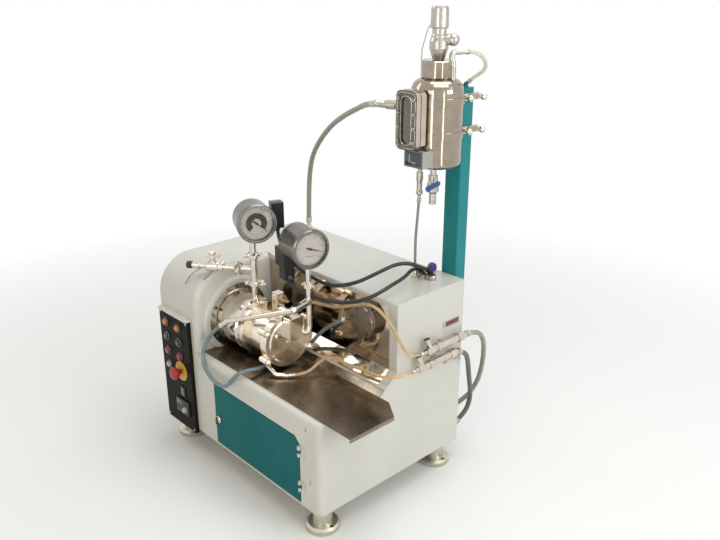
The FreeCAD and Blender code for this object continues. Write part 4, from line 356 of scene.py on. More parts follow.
materialSpecs = {
    paintMaterial: {
        "cabinetPaint": finish((0.60, 0.60, 0.555), (0.57, 0.565, 0.515), (0.30, 0.42), grime=0.16,
            grimeColour=(0.42, 0.38, 0.29), sockets={"Coat Weight": 0.25, "Coat Roughness": 0.18}),
        "cabinetInside": finish((0.50, 0.49, 0.45), (0.46, 0.45, 0.40), (0.45, 0.6), grime=0.5),
        "tealPaint": finish((0.002, 0.140, 0.146), (0.001, 0.118, 0.126), (0.34, 0.46), grime=0.12,
            grimeColour=(0.05, 0.12, 0.10), wearColour=(0.10, 0.25, 0.22), wear=0.7,
            sockets={"Specular IOR Level": 0.10}),
        "columnPaint": finish((0.012, 0.215, 0.235), (0.010, 0.190, 0.212), (0.32, 0.45), grime=0.12,
            grimeColour=(0.06, 0.16, 0.15), wearColour=(0.12, 0.32, 0.30), wear=0.6,
            sockets={"Specular IOR Level": 0.25}),
        "motorPaint": finish((0.055, 0.075, 0.10), (0.045, 0.060, 0.085), (0.35, 0.5), grime=0.5,
            grimeColour=(0.05, 0.045, 0.04), wearColour=(0.25, 0.25, 0.25)),
        "panelBlack": finish((0.010, 0.011, 0.008), (0.017, 0.017, 0.013), (0.28, 0.42), grime=0.10,
            grimeColour=(0.05, 0.045, 0.035), wearColour=(0.12, 0.11, 0.09), peel=900.0,
            sockets={"Specular IOR Level": 0.04}),
        "boxPlastic": finish((0.012, 0.013, 0.016), (0.020, 0.021, 0.025), (0.25, 0.4), grime=2.6,
            grimeSides=0.02, grimeColour=(0.42, 0.42, 0.40), wearColour=(0.08, 0.08, 0.08), peel=1200.0,
            sockets={"Specular IOR Level": 0.3}),
        "plateField": finish((0.16, 0.045, 0.045), (0.12, 0.035, 0.035), (0.35, 0.45), grime=0.1),
    },
    metalMaterial: {
        "sightFace": finish((0.17, 0.155, 0.13), (0.11, 0.10, 0.085), (0.2, 0.34), grime=0.35),
        "sightSide": finish((0.62, 0.54, 0.46), (0.52, 0.45, 0.38), (0.16, 0.26),
            brush=(60.0, 60.0, 1900.0), brushDepth=0.06, grime=0.1),
        "pumpSteel": finish((0.20, 0.165, 0.13), (0.15, 0.12, 0.09), (0.2, 0.34), grime=0.35, wave=0.10),
        "padSteel": finish((0.62, 0.60, 0.51), (0.52, 0.505, 0.42), (0.3, 0.42), grime=0.35,
            grimeColour=(0.30, 0.28, 0.22)),
        "flangeSteel": finish((0.56, 0.52, 0.455), (0.42, 0.38, 0.32), (0.16, 0.28),
            brush=(1600.0, 160.0, 160.0), brushDepth=0.02, grime=0.2),
        "trayTop": finish((0.33, 0.28, 0.22), (0.23, 0.19, 0.145), (0.14, 0.30), brush=(1800.0, 50.0, 50.0),
            brushDepth=0.06, grime=0.75, grimeColour=(0.16, 0.13, 0.09), wave=0.10, smearSize=14.0),
        "polishedSteel": finish((0.74, 0.68, 0.59), (0.60, 0.545, 0.465), (0.06, 0.16), grime=0.12,
            wave=0.12),
        "tankSteel": finish((0.40, 0.345, 0.275), (0.32, 0.27, 0.21), (0.05, 0.13), grime=0.06, wave=0.30),
        # Lighter copy of the polished steel for chamber jacket and end cover: painted highlight standing in
        # for their brighter reflections
        "litJacketSteel": finish((0.88, 0.80, 0.69), (0.76, 0.68, 0.575), (0.12, 0.24), grime=0.10, wave=0.14),
        "satinSteel": finish((0.50, 0.48, 0.43), (0.41, 0.39, 0.345), (0.22, 0.34), grime=0.12),
        # Darker copy of satin steel for gauge cases and display bezel: painted shade against the light
        # falling on them from above
        "shadedCaseSteel": finish((0.22, 0.212, 0.19), (0.175, 0.165, 0.145), (0.20, 0.30),
            brush=(50.0, 50.0, 1500.0), brushDepth=0.04, grime=0.05),
        "mirrorSheet": finish((0.62, 0.53, 0.43), (0.48, 0.40, 0.31), (0.03, 0.10), grime=0.25,
            grimeColour=(0.22, 0.17, 0.11), wave=0.28),
        "darkSteel": finish((0.16, 0.16, 0.165), (0.10, 0.10, 0.10), (0.32, 0.5), grime=0.4),
        "screenSteel": finish((0.62, 0.62, 0.60), (0.52, 0.52, 0.50), (0.2, 0.3),
            brush=(1500.0, 80.0, 80.0)),
        "bearingSteel": finish((0.66, 0.66, 0.67), (0.58, 0.58, 0.58), (0.08, 0.18)),
        "brass": finish((0.42, 0.30, 0.16), (0.32, 0.22, 0.12), (0.14, 0.28), grime=0.2),
        "plateSteel": finish((0.62, 0.60, 0.56), (0.50, 0.48, 0.44), (0.28, 0.4),
            brush=(80.0, 1500.0, 80.0)),
    },
    plasticMaterial: {
        "discCeramic": finish((0.72, 0.70, 0.64), (0.64, 0.62, 0.55), (0.18, 0.3)),
        "blackPlastic": finish((0.012, 0.013, 0.015), (0.020, 0.022, 0.026), (0.22, 0.38),
            wearColour=(0.10, 0.10, 0.11), bump=0.2),
        "palePlastic": finish((0.52, 0.50, 0.44), (0.44, 0.42, 0.36), (0.3, 0.45)),
        "yellowPlastic": finish((0.72, 0.42, 0.02), (0.62, 0.34, 0.015), (0.3, 0.42)),
        "redPlastic": finish((0.42, 0.016, 0.018), (0.33, 0.012, 0.014), (0.25, 0.38),
            wearColour=(0.55, 0.10, 0.08)),
        "greenPlastic": finish((0.010, 0.085, 0.045), (0.008, 0.065, 0.035), (0.2, 0.35)),
        "bluePlastic": finish((0.055, 0.13, 0.42), (0.045, 0.105, 0.34), (0.28, 0.42)),
        "violetPlastic": finish((0.055, 0.035, 0.30), (0.045, 0.03, 0.24), (0.25, 0.38)),
        "rubberBlack": finish((0.013, 0.013, 0.014), (0.020, 0.020, 0.021), (0.34, 0.5), grain=2200.0,
            bump=0.3, wearColour=(0.04, 0.04, 0.04)),
        "dialFace": finish((0.46, 0.45, 0.40), (0.42, 0.41, 0.36), (0.35, 0.5)),
        "dialPlain": finish((0.54, 0.50, 0.47), (0.50, 0.46, 0.43), (0.35, 0.5)),
        "dialInk": finish((0.008, 0.008, 0.008), (0.012, 0.012, 0.011), (0.3, 0.5)),
    },
    glassMaterial: {
        "amberLens": finish((0.75, 0.27, 0.03), (0.60, 0.20, 0.02), (0.12, 0.25),
            sockets=glossy(0.25, 1.49, 0.4)),
        "redLens": finish((0.55, 0.03, 0.04), (0.42, 0.02, 0.03), (0.12, 0.25),
            sockets=glossy(0.2, 1.49, 0.4)),
        "greenLens": finish((0.02, 0.14, 0.08), (0.015, 0.10, 0.06), (0.12, 0.25),
            sockets=glossy(0.2, 1.49, 0.4)),
        "paleLens": finish((0.62, 0.55, 0.47), (0.52, 0.46, 0.40), (0.15, 0.28),
            sockets=glossy(0.25, 1.49, 0.4)),
        "screenGlass": finish((0.015, 0.035, 0.045), (0.02, 0.05, 0.06), (0.06, 0.14),
            sockets=glossy(0.0, 1.5, 0.6)),
        "dialGlass": finish((0.96, 0.97, 0.97), (0.92, 0.93, 0.93), (0.01, 0.05),
            sockets={"Transmission Weight": 1.0, "IOR": 1.45, "Alpha": 0.22}),
        "levelGlass": finish((0.22, 0.21, 0.20), (0.16, 0.155, 0.15), (0.03, 0.10),
            sockets=glossy(0.35, 1.5, 0.5)),
    },
    hoseMaterial: {
        "hoseBlue": finish((0.245, 0.325, 0.335), (0.18, 0.265, 0.28), (0.16, 0.28),
            sockets=glossy(0.35, 1.42, 0.35, 0.12)),
        "hoseYellow": finish((0.86, 0.66, 0.40), (0.76, 0.54, 0.30), (0.14, 0.26),
            sockets=glossy(0.6, 1.42, 0.3, 0.1)),
        "hoseGrey": finish((0.36, 0.345, 0.275), (0.28, 0.27, 0.22), (0.22, 0.34), cloud=22.0,
            sockets=glossy(0.15, 1.42, 0.3, 0.2)),
        "hoseDark": finish((0.135, 0.135, 0.105), (0.095, 0.095, 0.075), (0.22, 0.34), cloud=22.0,
            sockets=glossy(0.0, 1.42, 0.3, 0.2)),
        "hoseClear": finish((0.78, 0.75, 0.66), (0.70, 0.67, 0.57), (0.18, 0.3),
            sockets=glossy(0.55, 1.40, 0.2)),
    },
    braidMaterial: {
        "supplyBraid": finish((0.42, 0.39, 0.32), (0.30, 0.275, 0.22), (0.5, 0.3),
            gapColour=(0.12, 0.105, 0.08), turns=6.0, along=105.0),
        "returnBraid": finish((0.34, 0.32, 0.27), (0.24, 0.22, 0.18), (0.5, 0.32),
            gapColour=(0.09, 0.08, 0.06), turns=4.0, along=50.0),
    },
}
materials = {}
for maker, group in materialSpecs.items():
    for name, spec in group.items():
        materials[name] = maker({"name": name, **spec})
print("stage: materials", len(materials))


# Materials of the CAD nodes
nodeMaterials = {
    "cabinetPaint": "front_panel end_panel rear_panel tower_hood tower_end_cover rear_box_cover door_hinges",
    "cabinetInside": "base_pan", "tealPaint": "service_door", "columnPaint": "column",
    "panelBlack": "control_panel", "padSteel": "levelling_feet", "mirrorSheet": "alcove_liner",
    "trayTop": "drip_tray", "greenPlastic": "start_button", "redPlastic": "stop_button estop_button",
    "palePlastic": "speed_knob", "bluePlastic": "drain_lever", "violetPlastic": "regulator_knob",
    "rubberBlack": "drive_belt", "darkSteel": "motor_rotor spindle_pulley", "bearingSteel": "spindle_shaft",
    "flangeSteel": "bearing_housing", "discCeramic": "agitator_discs chamber_liner",
    "screenSteel": "separator_screen", "litJacketSteel": "chamber_jacket end_cover",
    "polishedSteel": "door_latch separator_housing inlet_pipework outlet_pipework pipe_clamps "
                     "sampling_handle",
    "shadedCaseSteel": "gauge_cases", "dialInk": "outlet_gauge_needle inlet_gauge_needle", "pumpSteel": "pump_head",
    "tankSteel": "seal_tank", "satinSteel": "tank_fittings"}


def dress(node, labels, choose=None):  # choose picks the second finish by a face's centre and normal
    mesh = nodes[node].data
    mesh.materials.clear()
    for label in labels:
        mesh.materials.append(materials[label])
    for polygon in mesh.polygons:
        polygon.material_index = int(choose(polygon.center / mm, polygon.normal)) if choose else 0


def boxFinish(centre, normal):  # the two top glands and the near side of the level display are steel
    gland = 570 < centre.z < 586 and centre.y > 150
    return gland or centre.z > 850 and normal.x > 0.5


def sightFinish(centre, normal):  # the face towards the front and the window's surround
    return normal.y < -0.5 or abs(centre.x - tankPlace[0] + 4) < 18 and centre.y < 95


def pipeMouthShade(centre, normal):  # black rubber on the two stubs' top faces: painted shade for their dark open mouths
    for y, z in ((82.0, 380.0), (112.0, 420.0)):
        if abs(centre.y - y) < 24 and centre.z > z + 18 and normal.z > 0.9:
            return True
    return False


for label, names in nodeMaterials.items():
    for node in names.split():
        dress(node, [label])
# Nodes whose parts have their own finish: cone plug, level glass, tank clamps' hoops, motor's plinth
dress("fill_port", ["polishedSteel", "brass"], lambda centre, normal: centre.x > 7.5 and centre.z > 495)
dress("instrument_windows", ["dialGlass", "levelGlass"], lambda centre, normal: centre.x > 200)
dress("tank_clamps", ["polishedSteel", "tankSteel"],
      lambda centre, normal: (centre.xy - Vector(tankPlace)).length < 72)
dress("motor_housing", ["motorPaint", "darkSteel"], lambda centre, normal: centre.z < 88)
dress("instrument_boxes", ["boxPlastic", "satinSteel"], boxFinish)
dress("sight_glass_frame", ["sightSide", "sightFace"], sightFinish)
dress("water_pipes", ["polishedSteel", "rubberBlack"], pipeMouthShade)
print("stage: node materials")


# Builders of extra pieces, each from one dictionary with lengths in millimetres
addedPieces = []
polished = {"material": "polishedSteel", "slot": "polished_steel"}
satin = {"material": "satinSteel", "slot": "polished_steel"}
rubber = {"material": "rubberBlack", "slot": "rubber_black"}
sheet = {"material": "plateSteel", "slot": "stainless"}


def rideAlong(piece, spec):
    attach(piece, spec.get("body", "machine"))
    addedPieces.append(piece)
    return piece


def finishPiece(bm, spec, smooth=35.0):
    mesh = bpy.data.meshes.new(spec["name"])
    bm.to_mesh(mesh)
    bm.free()
    mesh.materials.append(materials[spec["material"]])
    for polygon in mesh.polygons:
        polygon.use_smooth = True
    mesh.set_sharp_from_angle(angle=math.radians(smooth))
    return rideAlong(linkObject(spec["name"], mesh), spec)


def axisFrame(spec):
    w = Vector(spec["axis"]).normalized()
    turn = Vector((0, 0, 1)).rotation_difference(w).to_matrix().to_4x4()
    return Matrix.Translation(Vector(spec["start"]) * mm) @ turn


def ring(bm, radii, height):
    verts = []
    for step, radius in enumerate(radii):
        angle = 2 * math.pi * step / len(radii)
        verts.append(bm.verts.new(vec(radius * math.cos(angle), radius * math.sin(angle), height)))
    return verts


def bridge(bm, rings):
    for lower, upper in zip(rings, rings[1:]):
        for step in range(len(lower)):
            after = (step + 1) % len(lower)
            bm.faces.new((lower[step], lower[after], upper[after], upper[step]))


def addLathe(spec):  # profile of (distance, radius), closed or from the axis to the axis
    bm = bmesh.new()
    steps = spec.get("steps", 48)
    bridge(bm, [ring(bm, [radius] * steps, distance) for distance, radius in spec["profile"]])
    bmesh.ops.remove_doubles(bm, verts=bm.verts, dist=1e-7)
    bm.transform(axisFrame(spec))
    return finishPiece(bm, spec)


def addHex(spec):  # chamfered hexagon with a dome or a stud on it where the dictionary says so
    bm = bmesh.new()
    steps = 24
    half = spec["flats"] / 2
    inner = half * 0.96
    height = spec["height"]
    circle = [inner] * steps
    hexagon = [half / math.cos(2 * math.pi * step / steps % (math.pi / 3) - math.pi / 6)
               for step in range(steps)]
    levels = [(0.0, circle), (height * 0.10, hexagon), (height * 0.88, hexagon), (height, circle)]
    if spec.get("dome"):
        radius = inner * 0.94
        for step in range(1, 6):
            lift = math.radians(90 * step / 5.5)
            levels.append((height + radius * 0.62 * math.sin(lift), [radius * math.cos(lift)] * steps))
    rings = [ring(bm, radii, z) for z, radii in levels]
    bridge(bm, rings)
    bm.faces.new(list(reversed(rings[0])))
    bm.faces.new(rings[-1])
    if spec.get("stud"):
        shank = [ring(bm, [spec["stud"]] * steps, z) for z in (height - 0.2, height + spec["studLength"])]
        bridge(bm, shank)
        bm.faces.new(shank[1])
    bm.transform(axisFrame(spec) @ Matrix.Rotation(math.radians(spec["spin"]), 4, "Z"))
    return finishPiece(bm, spec, 30.0)


def addBlock(spec):
    bm = bmesh.new()
    bmesh.ops.create_cube(bm, size=1.0)
    corners = list(zip(spec["low"], spec["high"]))
    size = [(high - low) * mm for low, high in corners]
    for vert in bm.verts:
        vert.co = Vector([vert.co[i] * size[i] for i in range(3)])
    bmesh.ops.bevel(bm, geom=list(bm.edges), offset=min(spec["bevel"] * mm, min(size) * 0.45), segments=3,
                    affect="EDGES", profile=0.5)
    bm.transform(Matrix.Translation([(low + high) / 2 * mm for low, high in corners]))
    return finishPiece(bm, spec)


def addTube(spec):  # round tube along its points, with (along, around) as its fineness
    curve = bpy.data.curves.new(spec["name"], "CURVE")
    curve.dimensions = "3D"
    spline = curve.splines.new("NURBS")
    spline.points.add(len(spec["points"]) - 1)
    for point, place in zip(spline.points, spec["points"]):
        point.co = (*vec(*place), 1.0)
    spline.order_u = 3
    spline.use_endpoint_u = True
    curve.resolution_u, curve.bevel_resolution = spec["fineness"]
    curve.bevel_depth = spec["diameter"] / 2 * mm
    curve.use_fill_caps = True
    curve.materials.append(materials[spec["material"]])
    return rideAlong(linkObject(spec["name"], curve), spec)


# Hoses and cables on the routes of the solids, in millimetres
cords = [
    {"node": "tank_supply_hose", "diameter": 15.0, "length": 687.0, "stiffness": "medium",
     "material": "supplyBraid", "slot": "hose_braid", "points": [
        (-272, 240, 594), (-270, 240, 651), (-266, 239, 708), (-256, 236, 765), (-235, 231, 818),
        (-199, 225, 862), (-157, 217, 900), (-111, 206, 932), (-61, 195, 959), (-10, 182, 982),
        (41, 166, 1001), (91, 145, 1019), (144, 124, 1029)]},
    {"node": "tank_return_hose", "diameter": 7.0, "length": 197.0, "stiffness": "medium",
     "material": "returnBraid", "slot": "hose_braid", "points": [
        (250, 186, 790), (248, 186, 762), (247, 185, 734), (246, 183, 706), (246, 181, 678),
        (247, 180, 650), (249, 178, 622), (252, 176, 594)]},
    {"node": "clear_hose", "diameter": 10.0, "length": 143.0, "stiffness": "limp",
     "material": "hoseClear", "slot": "hose_clear", "points": [
        (352, 226, 1164), (360, 240, 1163), (368, 253, 1159), (373, 265, 1150), (373, 276, 1138),
        (368, 284, 1126), (357, 288, 1114), (344, 286, 1105), (331, 283, 1096), (319, 280, 1086)]},
    {"node": "gauge_cable_front", "diameter": 10.0, "length": 504.0, "stiffness": "medium",
     "material": "rubberBlack", "slot": "rubber_black", "points": [
        (27, -84, 562), (48, -70, 540), (74, -55, 531), (108, -52, 531), (142, -53, 536),
        (175, -57, 543), (208, -58, 551), (241, -55, 561), (272, -47, 573), (296, -28, 586),
        (306, 2, 597), (307, 36, 605), (301, 69, 606), (289, 101, 605), (279, 133, 612),
        (271, 165, 604)]},
    {"node": "gauge_cable_rear", "diameter": 10.0, "length": 550.0, "stiffness": "medium",
     "material": "rubberBlack", "slot": "rubber_black", "points": [
        (-40, -60, 684), (-39, -55, 650), (-28, -46, 618), (-4, -39, 595), (29, -36, 584),
        (63, -38, 579), (97, -38, 575), (132, -38, 574), (166, -31, 577), (196, -17, 586),
        (224, -1, 599), (244, 23, 614), (257, 53, 626), (265, 85, 634), (277, 118, 633),
        (287, 148, 620), (292, 178, 603)]},
    {"node": "product_hose", "diameter": 11.0, "length": 740.0, "stiffness": "limp",
     "material": "hoseBlue", "slot": "hose_blue", "points": [
        (-90, -222, 440.5), (-119, -230, 416), (-139, -240, 390), (-144, -254, 364),
        (-139, -264, 338), (-123, -271, 314), (-98, -273, 299), (-70, -275, 291), (-41, -275, 290),
        (-13, -274, 299), (6, -270, 321), (21, -259, 344), (36, -237, 353), (42, -209, 350),
        (38, -180, 347), (34, -150, 347), (33, -121, 346), (35, -92, 347), (40, -63, 349),
        (52, -41, 364), (68, -31, 386), (87, -28, 409), (108, -27, 430), (130, -23, 448),
        (154, -17, 465), (178, -10, 480)]},
    {"node": "lower_water_tube", "diameter": 8.0, "length": 395.0, "stiffness": "limp",
     "material": "hoseYellow", "slot": "hose_yellow", "points": [
        (125, -155, 344), (144, -132, 346), (145, -101, 352), (143, -72, 363), (157, -49, 372),
        (188, -45, 374), (219, -46, 374), (250, -42, 375), (281, -39, 376), (312, -37, 377),
        (342, -32, 378), (366, -12, 379), (375, 17, 380), (377, 48, 380)]},
    {"node": "upper_water_tube", "diameter": 8.0, "length": 544.0, "stiffness": "limp",
     "material": "hoseYellow", "slot": "hose_yellow", "points": [
        (377, 78, 420), (377, 46, 422), (375, 19, 440), (372, 3, 467), (366, -9, 497),
        (352, -17, 525), (334, -26, 550), (307, -32, 565), (275, -34, 562), (246, -33, 548),
        (216, -29, 536), (187, -25, 522), (157, -21, 510), (126, -19, 502), (93, -20, 498),
        (62, -25, 496), (35, -41, 490), (20, -66, 476)]},
    {"node": "water_hose_outer", "diameter": 14.0, "length": 412.0, "stiffness": "medium",
     "material": "hoseGrey", "slot": "hose_grey", "points": [
        (377, 248, 420), (375, 306, 412), (368, 345, 368), (357, 364, 312), (345, 373, 253),
        (330, 371, 195), (309, 342, 147), (288, 290, 128)]},
    {"node": "water_hose_inner", "diameter": 14.0, "length": 345.0, "stiffness": "medium",
     "material": "hoseDark", "slot": "hose_grey", "points": [
        (377, 218, 380), (376, 256, 362), (370, 276, 324), (361, 293, 283), (353, 309, 243),
        (346, 326, 203), (339, 334, 160), (330, 325, 119), (322, 290, 96)]},
]
for spec in cords:
    skin = addTube({**spec, "name": spec["node"] + "Skin", "fineness": (14, 7)})
    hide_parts(spec["node"])
print("stage: cords", len(cords))

# Ferrules where hoses meet their fittings: finish, radius and length
ferruleSpecs = {
    "tank_supply_hose": ("satinSteel", 9.6, 17.0), "tank_return_hose": ("satinSteel", 5.6, 12.0),
    "clear_hose": ("satinSteel", 6.4, 7.0), "product_hose": ("polishedSteel", 7.4, 11.0),
    "lower_water_tube": ("polishedSteel", 5.6, 8.0), "upper_water_tube": ("polishedSteel", 5.6, 8.0),
    "water_hose_outer": ("satinSteel", 9.0, 16.0), "water_hose_inner": ("satinSteel", 9.0, 16.0)}
# Its grooves: share of the length and depth below the radius
ferruleGrooves = ((0.28, 0.0), (0.34, 0.9), (0.46, 0.9), (0.52, 0.0), (0.62, 0.0), (0.68, 0.9), (0.8, 0.9),
                  (0.86, 0.1))
for spec in cords:
    if spec["node"] not in ferruleSpecs:
        continue
    label, radius, length = ferruleSpecs[spec["node"]]
    bore = spec["diameter"] / 2 + 0.15
    profile = [(-1.0, bore), (-1.0, radius - 0.8), (0.0, radius)]
    profile += [(length * share, radius - depth) for share, depth in ferruleGrooves]
    profile += [(length, radius - 0.4), (length, bore), (-1.0, bore)]
    for end, points in (("FerruleStart", spec["points"]), ("FerruleEnd", spec["points"][::-1])):
        tip = Vector(points[0])
        addLathe({"name": spec["node"] + end, "profile": profile, "start": tip,
                  "axis": Vector(points[1]) - tip, "material": label, "slot": "polished_steel"})
print("stage: ferrules")


# Control panel: lamps, bezels, emergency stop plate, display and keypad
forward = (0, -1, 0)
lampProfile = [(0.2, 0.0), (0.2, 9.3), (5.0, 9.3), (6.6, 9.0), (8.0, 8.2), (9.1, 6.6), (9.8, 4.2),
               (10.0, 1.6), (10.0, 0.0)]
bezelProfile = [(0.0, 10.4), (0.0, 13.7), (1.2, 13.7), (1.6, 13.1), (2.4, 13.1), (2.8, 13.5), (3.6, 12.9),
                (4.0, 11.9), (3.8, 10.9), (2.0, 10.4), (0.0, 10.4)]
stopProfile = [(0.0, 7.4), (0.0, 30.0), (1.6, 30.0), (2.3, 29.3), (2.5, 28.4), (2.5, 9.0), (2.1, 7.4),
               (0.0, 7.4)]
panelScrewProfile = [(0.0, 0.0), (0.0, 3.6), (0.8, 3.6), (1.8, 2.8), (2.2, 1.2), (2.2, 0.0)]
onPanel = {"slot": "lamp_plastic", "axis": forward}
lamps = {"Left": ("amberLens", "greenLens", "redLens", "paleLens"), "Right": ("amberLens",)}
columns = {"Left": leftColumn, "Right": rightColumn}
for side, lenses in lamps.items():
    for row, lens in enumerate(lenses):
        addLathe({
            "name": "lamp%s%d" % (side, row + 1), "profile": lampProfile, "material": lens,
            "start": (columns[side], panelFace, rowHeights[row]), **onPanel})
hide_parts("panel_fittings")
for side, rows in (("Left", 4), ("Right", 3)):
    for row in range(rows):
        addLathe({"name": "bezel%d%s" % (row, side[0]), "profile": bezelProfile, "material": "darkSteel",
                  "start": (columns[side], panelFace, rowHeights[row]), **onPanel})
addLathe({"name": "stopPlate", "profile": stopProfile, "start": (rightColumn, panelFace, rowHeights[3]),
          "material": "yellowPlastic", "steps": 96, **onPanel})
panelBlocks = [
    {"name": "displayFrame", "low": (-263.0, -274.0, 166.0), "high": (-241.0, panelFace, 198.0), "bevel": 0.8,
     "material": "blackPlastic"},
    {"name": "displayScreen", "low": (-260.0, -274.4, 172.0), "high": (-244.0, -273.6, 195.0), "bevel": 0.3,
     "material": "screenGlass"},
    {"name": "keypadBody", "low": (-288.0, -278.0, 109.0), "high": (-220.0, panelFace, 155.0), "bevel": 2.0,
     "material": "blackPlastic"},
    {"name": "keypadScreen", "low": (-284.0, -278.5, 137.0), "high": (-252.0, -277.6, 151.0), "bevel": 0.4,
     "material": "screenGlass"},
]
keySpec = {"low": (-282.5, -279.2, 115.5), "step": (8.2, 9.5), "size": (6.0, 6.6), "back": -277.4}
for column in range(4):
    for row in range(2):
        x = keySpec["low"][0] + column * keySpec["step"][0]
        z = keySpec["low"][2] + row * keySpec["step"][1]
        panelBlocks.append({
            "name": "key%d%d" % (column, row), "low": (x, keySpec["low"][1], z),
            "high": (x + keySpec["size"][0], keySpec["back"], z + keySpec["size"][1]), "bevel": 0.6,
            "material": "darkSteel" if column or row else "greenPlastic"})
for spec in panelBlocks:
    addBlock({**spec, "slot": "lamp_plastic"})
for x, z in ((-345, 415), (-207, 415), (-345, 70), (-207, 70)):
    addLathe({"name": "panelScrew%d%d" % (x < -300, z > 200), "profile": panelScrewProfile,
              "start": (x, panelFace, z), "axis": forward, "steps": 24, **satin})
print("stage: control panel")


# Gauge dials

def dialFrame(spec):
    turn = math.radians(spec["turn"])
    way = Vector((math.cos(turn), -math.sin(turn), 0.0))
    right = (-way).cross(Vector((0, 0, 1)))
    origin = (Vector(spec["back"]) + way * spec["depth"]) * mm
    return Matrix(((right.x, 0.0, way.x, origin.x), (right.y, 0.0, way.y, origin.y),
                   (right.z, 1.0, way.z, origin.z), (0.0, 0.0, 0.0, 1.0)))


def dialPoint(radius, degrees, lift):
    angle = math.radians(degrees)
    return vec(radius * math.cos(angle), radius * math.sin(angle), lift)


def arcBand(bm, band, lift, steps):  # band of inner and outer radius, first and last angle
    inner, outer, first, last = band
    pairs = []
    for step in range(steps + 1):
        degrees = first + (last - first) * step / steps
        pairs.append([bm.verts.new(dialPoint(radius, degrees, lift)) for radius in (inner, outer)])
    for before, after in zip(pairs, pairs[1:]):
        bm.faces.new((before[0], before[1], after[1], after[0]))


def addDial(spec):
    matrix = dialFrame(spec)
    first, last = spec["sweep"]
    face = bmesh.new()
    for inner, outer, lift in spec["rings"]:
        arcBand(face, (inner, outer, 0, 360), lift, 96)
    face.transform(matrix)
    bmesh.ops.remove_doubles(face, verts=face.verts, dist=1e-7)
    bmesh.ops.recalc_face_normals(face, faces=face.faces)
    finishPiece(face, {"name": spec["name"], "material": spec["material"], "slot": "stainless"})
    marks = bmesh.new()
    for band in spec["bands"]:
        arcBand(marks, band, 0.55, 72)
    for index in range(spec["ticks"] + 1):
        angle = first + (last - first) * index / spec["ticks"]
        width, length = (0.4, 2.4) if index % spec["every"] else (0.75, 4.2)
        arcBand(marks, (spec["tickOuter"] - length, spec["tickOuter"], angle - width, angle + width), 0.6, 1)
    marks.transform(matrix)
    finishPiece(marks, {"name": spec["name"] + "Marks", "material": "dialInk", "slot": "black_plastic"})
    for index, number in enumerate(spec["numbers"]):
        angle = first + (last - first) * index / (len(spec["numbers"]) - 1)
        curve = bpy.data.curves.new("%sNumber%d" % (spec["name"], index), "FONT")
        curve.body = number
        curve.size = spec["numberSize"] * mm
        curve.align_x = "CENTER"
        curve.align_y = "CENTER"
        curve.extrude = 0.08 * mm
        curve.materials.append(materials["dialInk"])
        label = linkObject(curve.name, curve)
        label.matrix_world = matrix @ Matrix.Translation(dialPoint(spec["numberRadius"], angle, 0.6))
        rideAlong(label, {"slot": "black_plastic"})


dialSpecs = [
    {"name": "outletDial", "material": "dialFace", "back": (-80.13, -119.70, 732.0), "turn": 23.0,
     "depth": 73.0, "rings": [(0.5, 10.5, 0.9), (10.5, 11.0, 0.3), (11.0, 43.9, 0.3)],
     "bands": [(12.5, 28.0, -42, 228), (30.6, 31.1, 0, 360)], "ticks": 40, "every": 8, "sweep": (225, -45),
     "tickOuter": 43.0, "numbers": ["0", "2", "4", "6", "8", "10"], "numberRadius": 35.6, "numberSize": 4.6},
    {"name": "inletDial", "material": "dialPlain", "back": (37.59, -64.56, 681.0), "turn": 12.0,
     "depth": 89.0, "rings": [(0.5, 43.9, 0.3)],
     "bands": [(40.4, 40.8, -45, 225), (20.0, 21.3, 232, 305)], "ticks": 50, "every": 5, "sweep": (225, -45),
     "tickOuter": 40.4, "numbers": ["0", "0.2", "0.4", "0.6", "0.8", "1"], "numberRadius": 31.5,
     "numberSize": 5.0},
]
for spec in dialSpecs:
    addDial(spec)
print("stage: dials")


# Fasteners round the mill
washerProfile = [(0.0, 4.3), (0.0, 9.2), (1.2, 9.2), (1.5, 8.9), (1.5, 4.3), (0.0, 4.3)]
socketProfile = [(-3.0, 0.0), (-3.0, 5.2), (1.6, 5.2), (2.2, 4.6), (2.2, 2.6), (-0.4, 2.4), (-0.4, 0.0)]
coverBolts = {"circle": 82.0, "flats": 16.0, "height": 8.5, "dome": True}
boltAngles = (30, 90, 150, 210, 330)
along = (1, 0, 0)


def roundSpindle(x, radius, degrees):
    angle = math.radians(degrees)
    return (x, spindleY + radius * math.cos(angle), spindleZ + radius * math.sin(angle))


for index, degrees in enumerate(boltAngles):
    addHex({**coverBolts, "name": "coverCapNut%d" % index, "axis": along, "spin": 11.0 * index, **polished,
            "start": roundSpindle(coverFace, coverBolts["circle"], degrees)})
    addLathe({"name": "coverWasher%d" % index, "profile": washerProfile, "axis": along, **satin,
              "start": roundSpindle(coverFace - 0.1, coverBolts["circle"], degrees)})
for index, degrees in enumerate(boltAngles):
    addLathe({"name": "flangeScrew%d" % index, "profile": socketProfile, "axis": along, "steps": 30,
              "start": roundSpindle(flangeFace, 87.5, degrees), "material": "darkSteel",
              "slot": "polished_steel"})

# Bolts of the level glass, two columns of four
levelBolt = {"middle": 296.0, "apart": 25.0, "face": 81.3, "low": 959.0, "high": 1061.0, "flats": 9.6,
             "height": 5.2, "stud": 2.6, "studLength": 2.2}
for index in range(4):
    z = levelBolt["low"] + index * (levelBolt["high"] - levelBolt["low"]) / 3
    for letter, side in (("L", -1), ("R", 1)):
        x = levelBolt["middle"] + side * levelBolt["apart"]
        addHex({**levelBolt, "name": "levelBolt%d%s" % (index, letter), "start": (x, levelBolt["face"], z),
                "axis": forward, "spin": 17.0 * index, **satin})

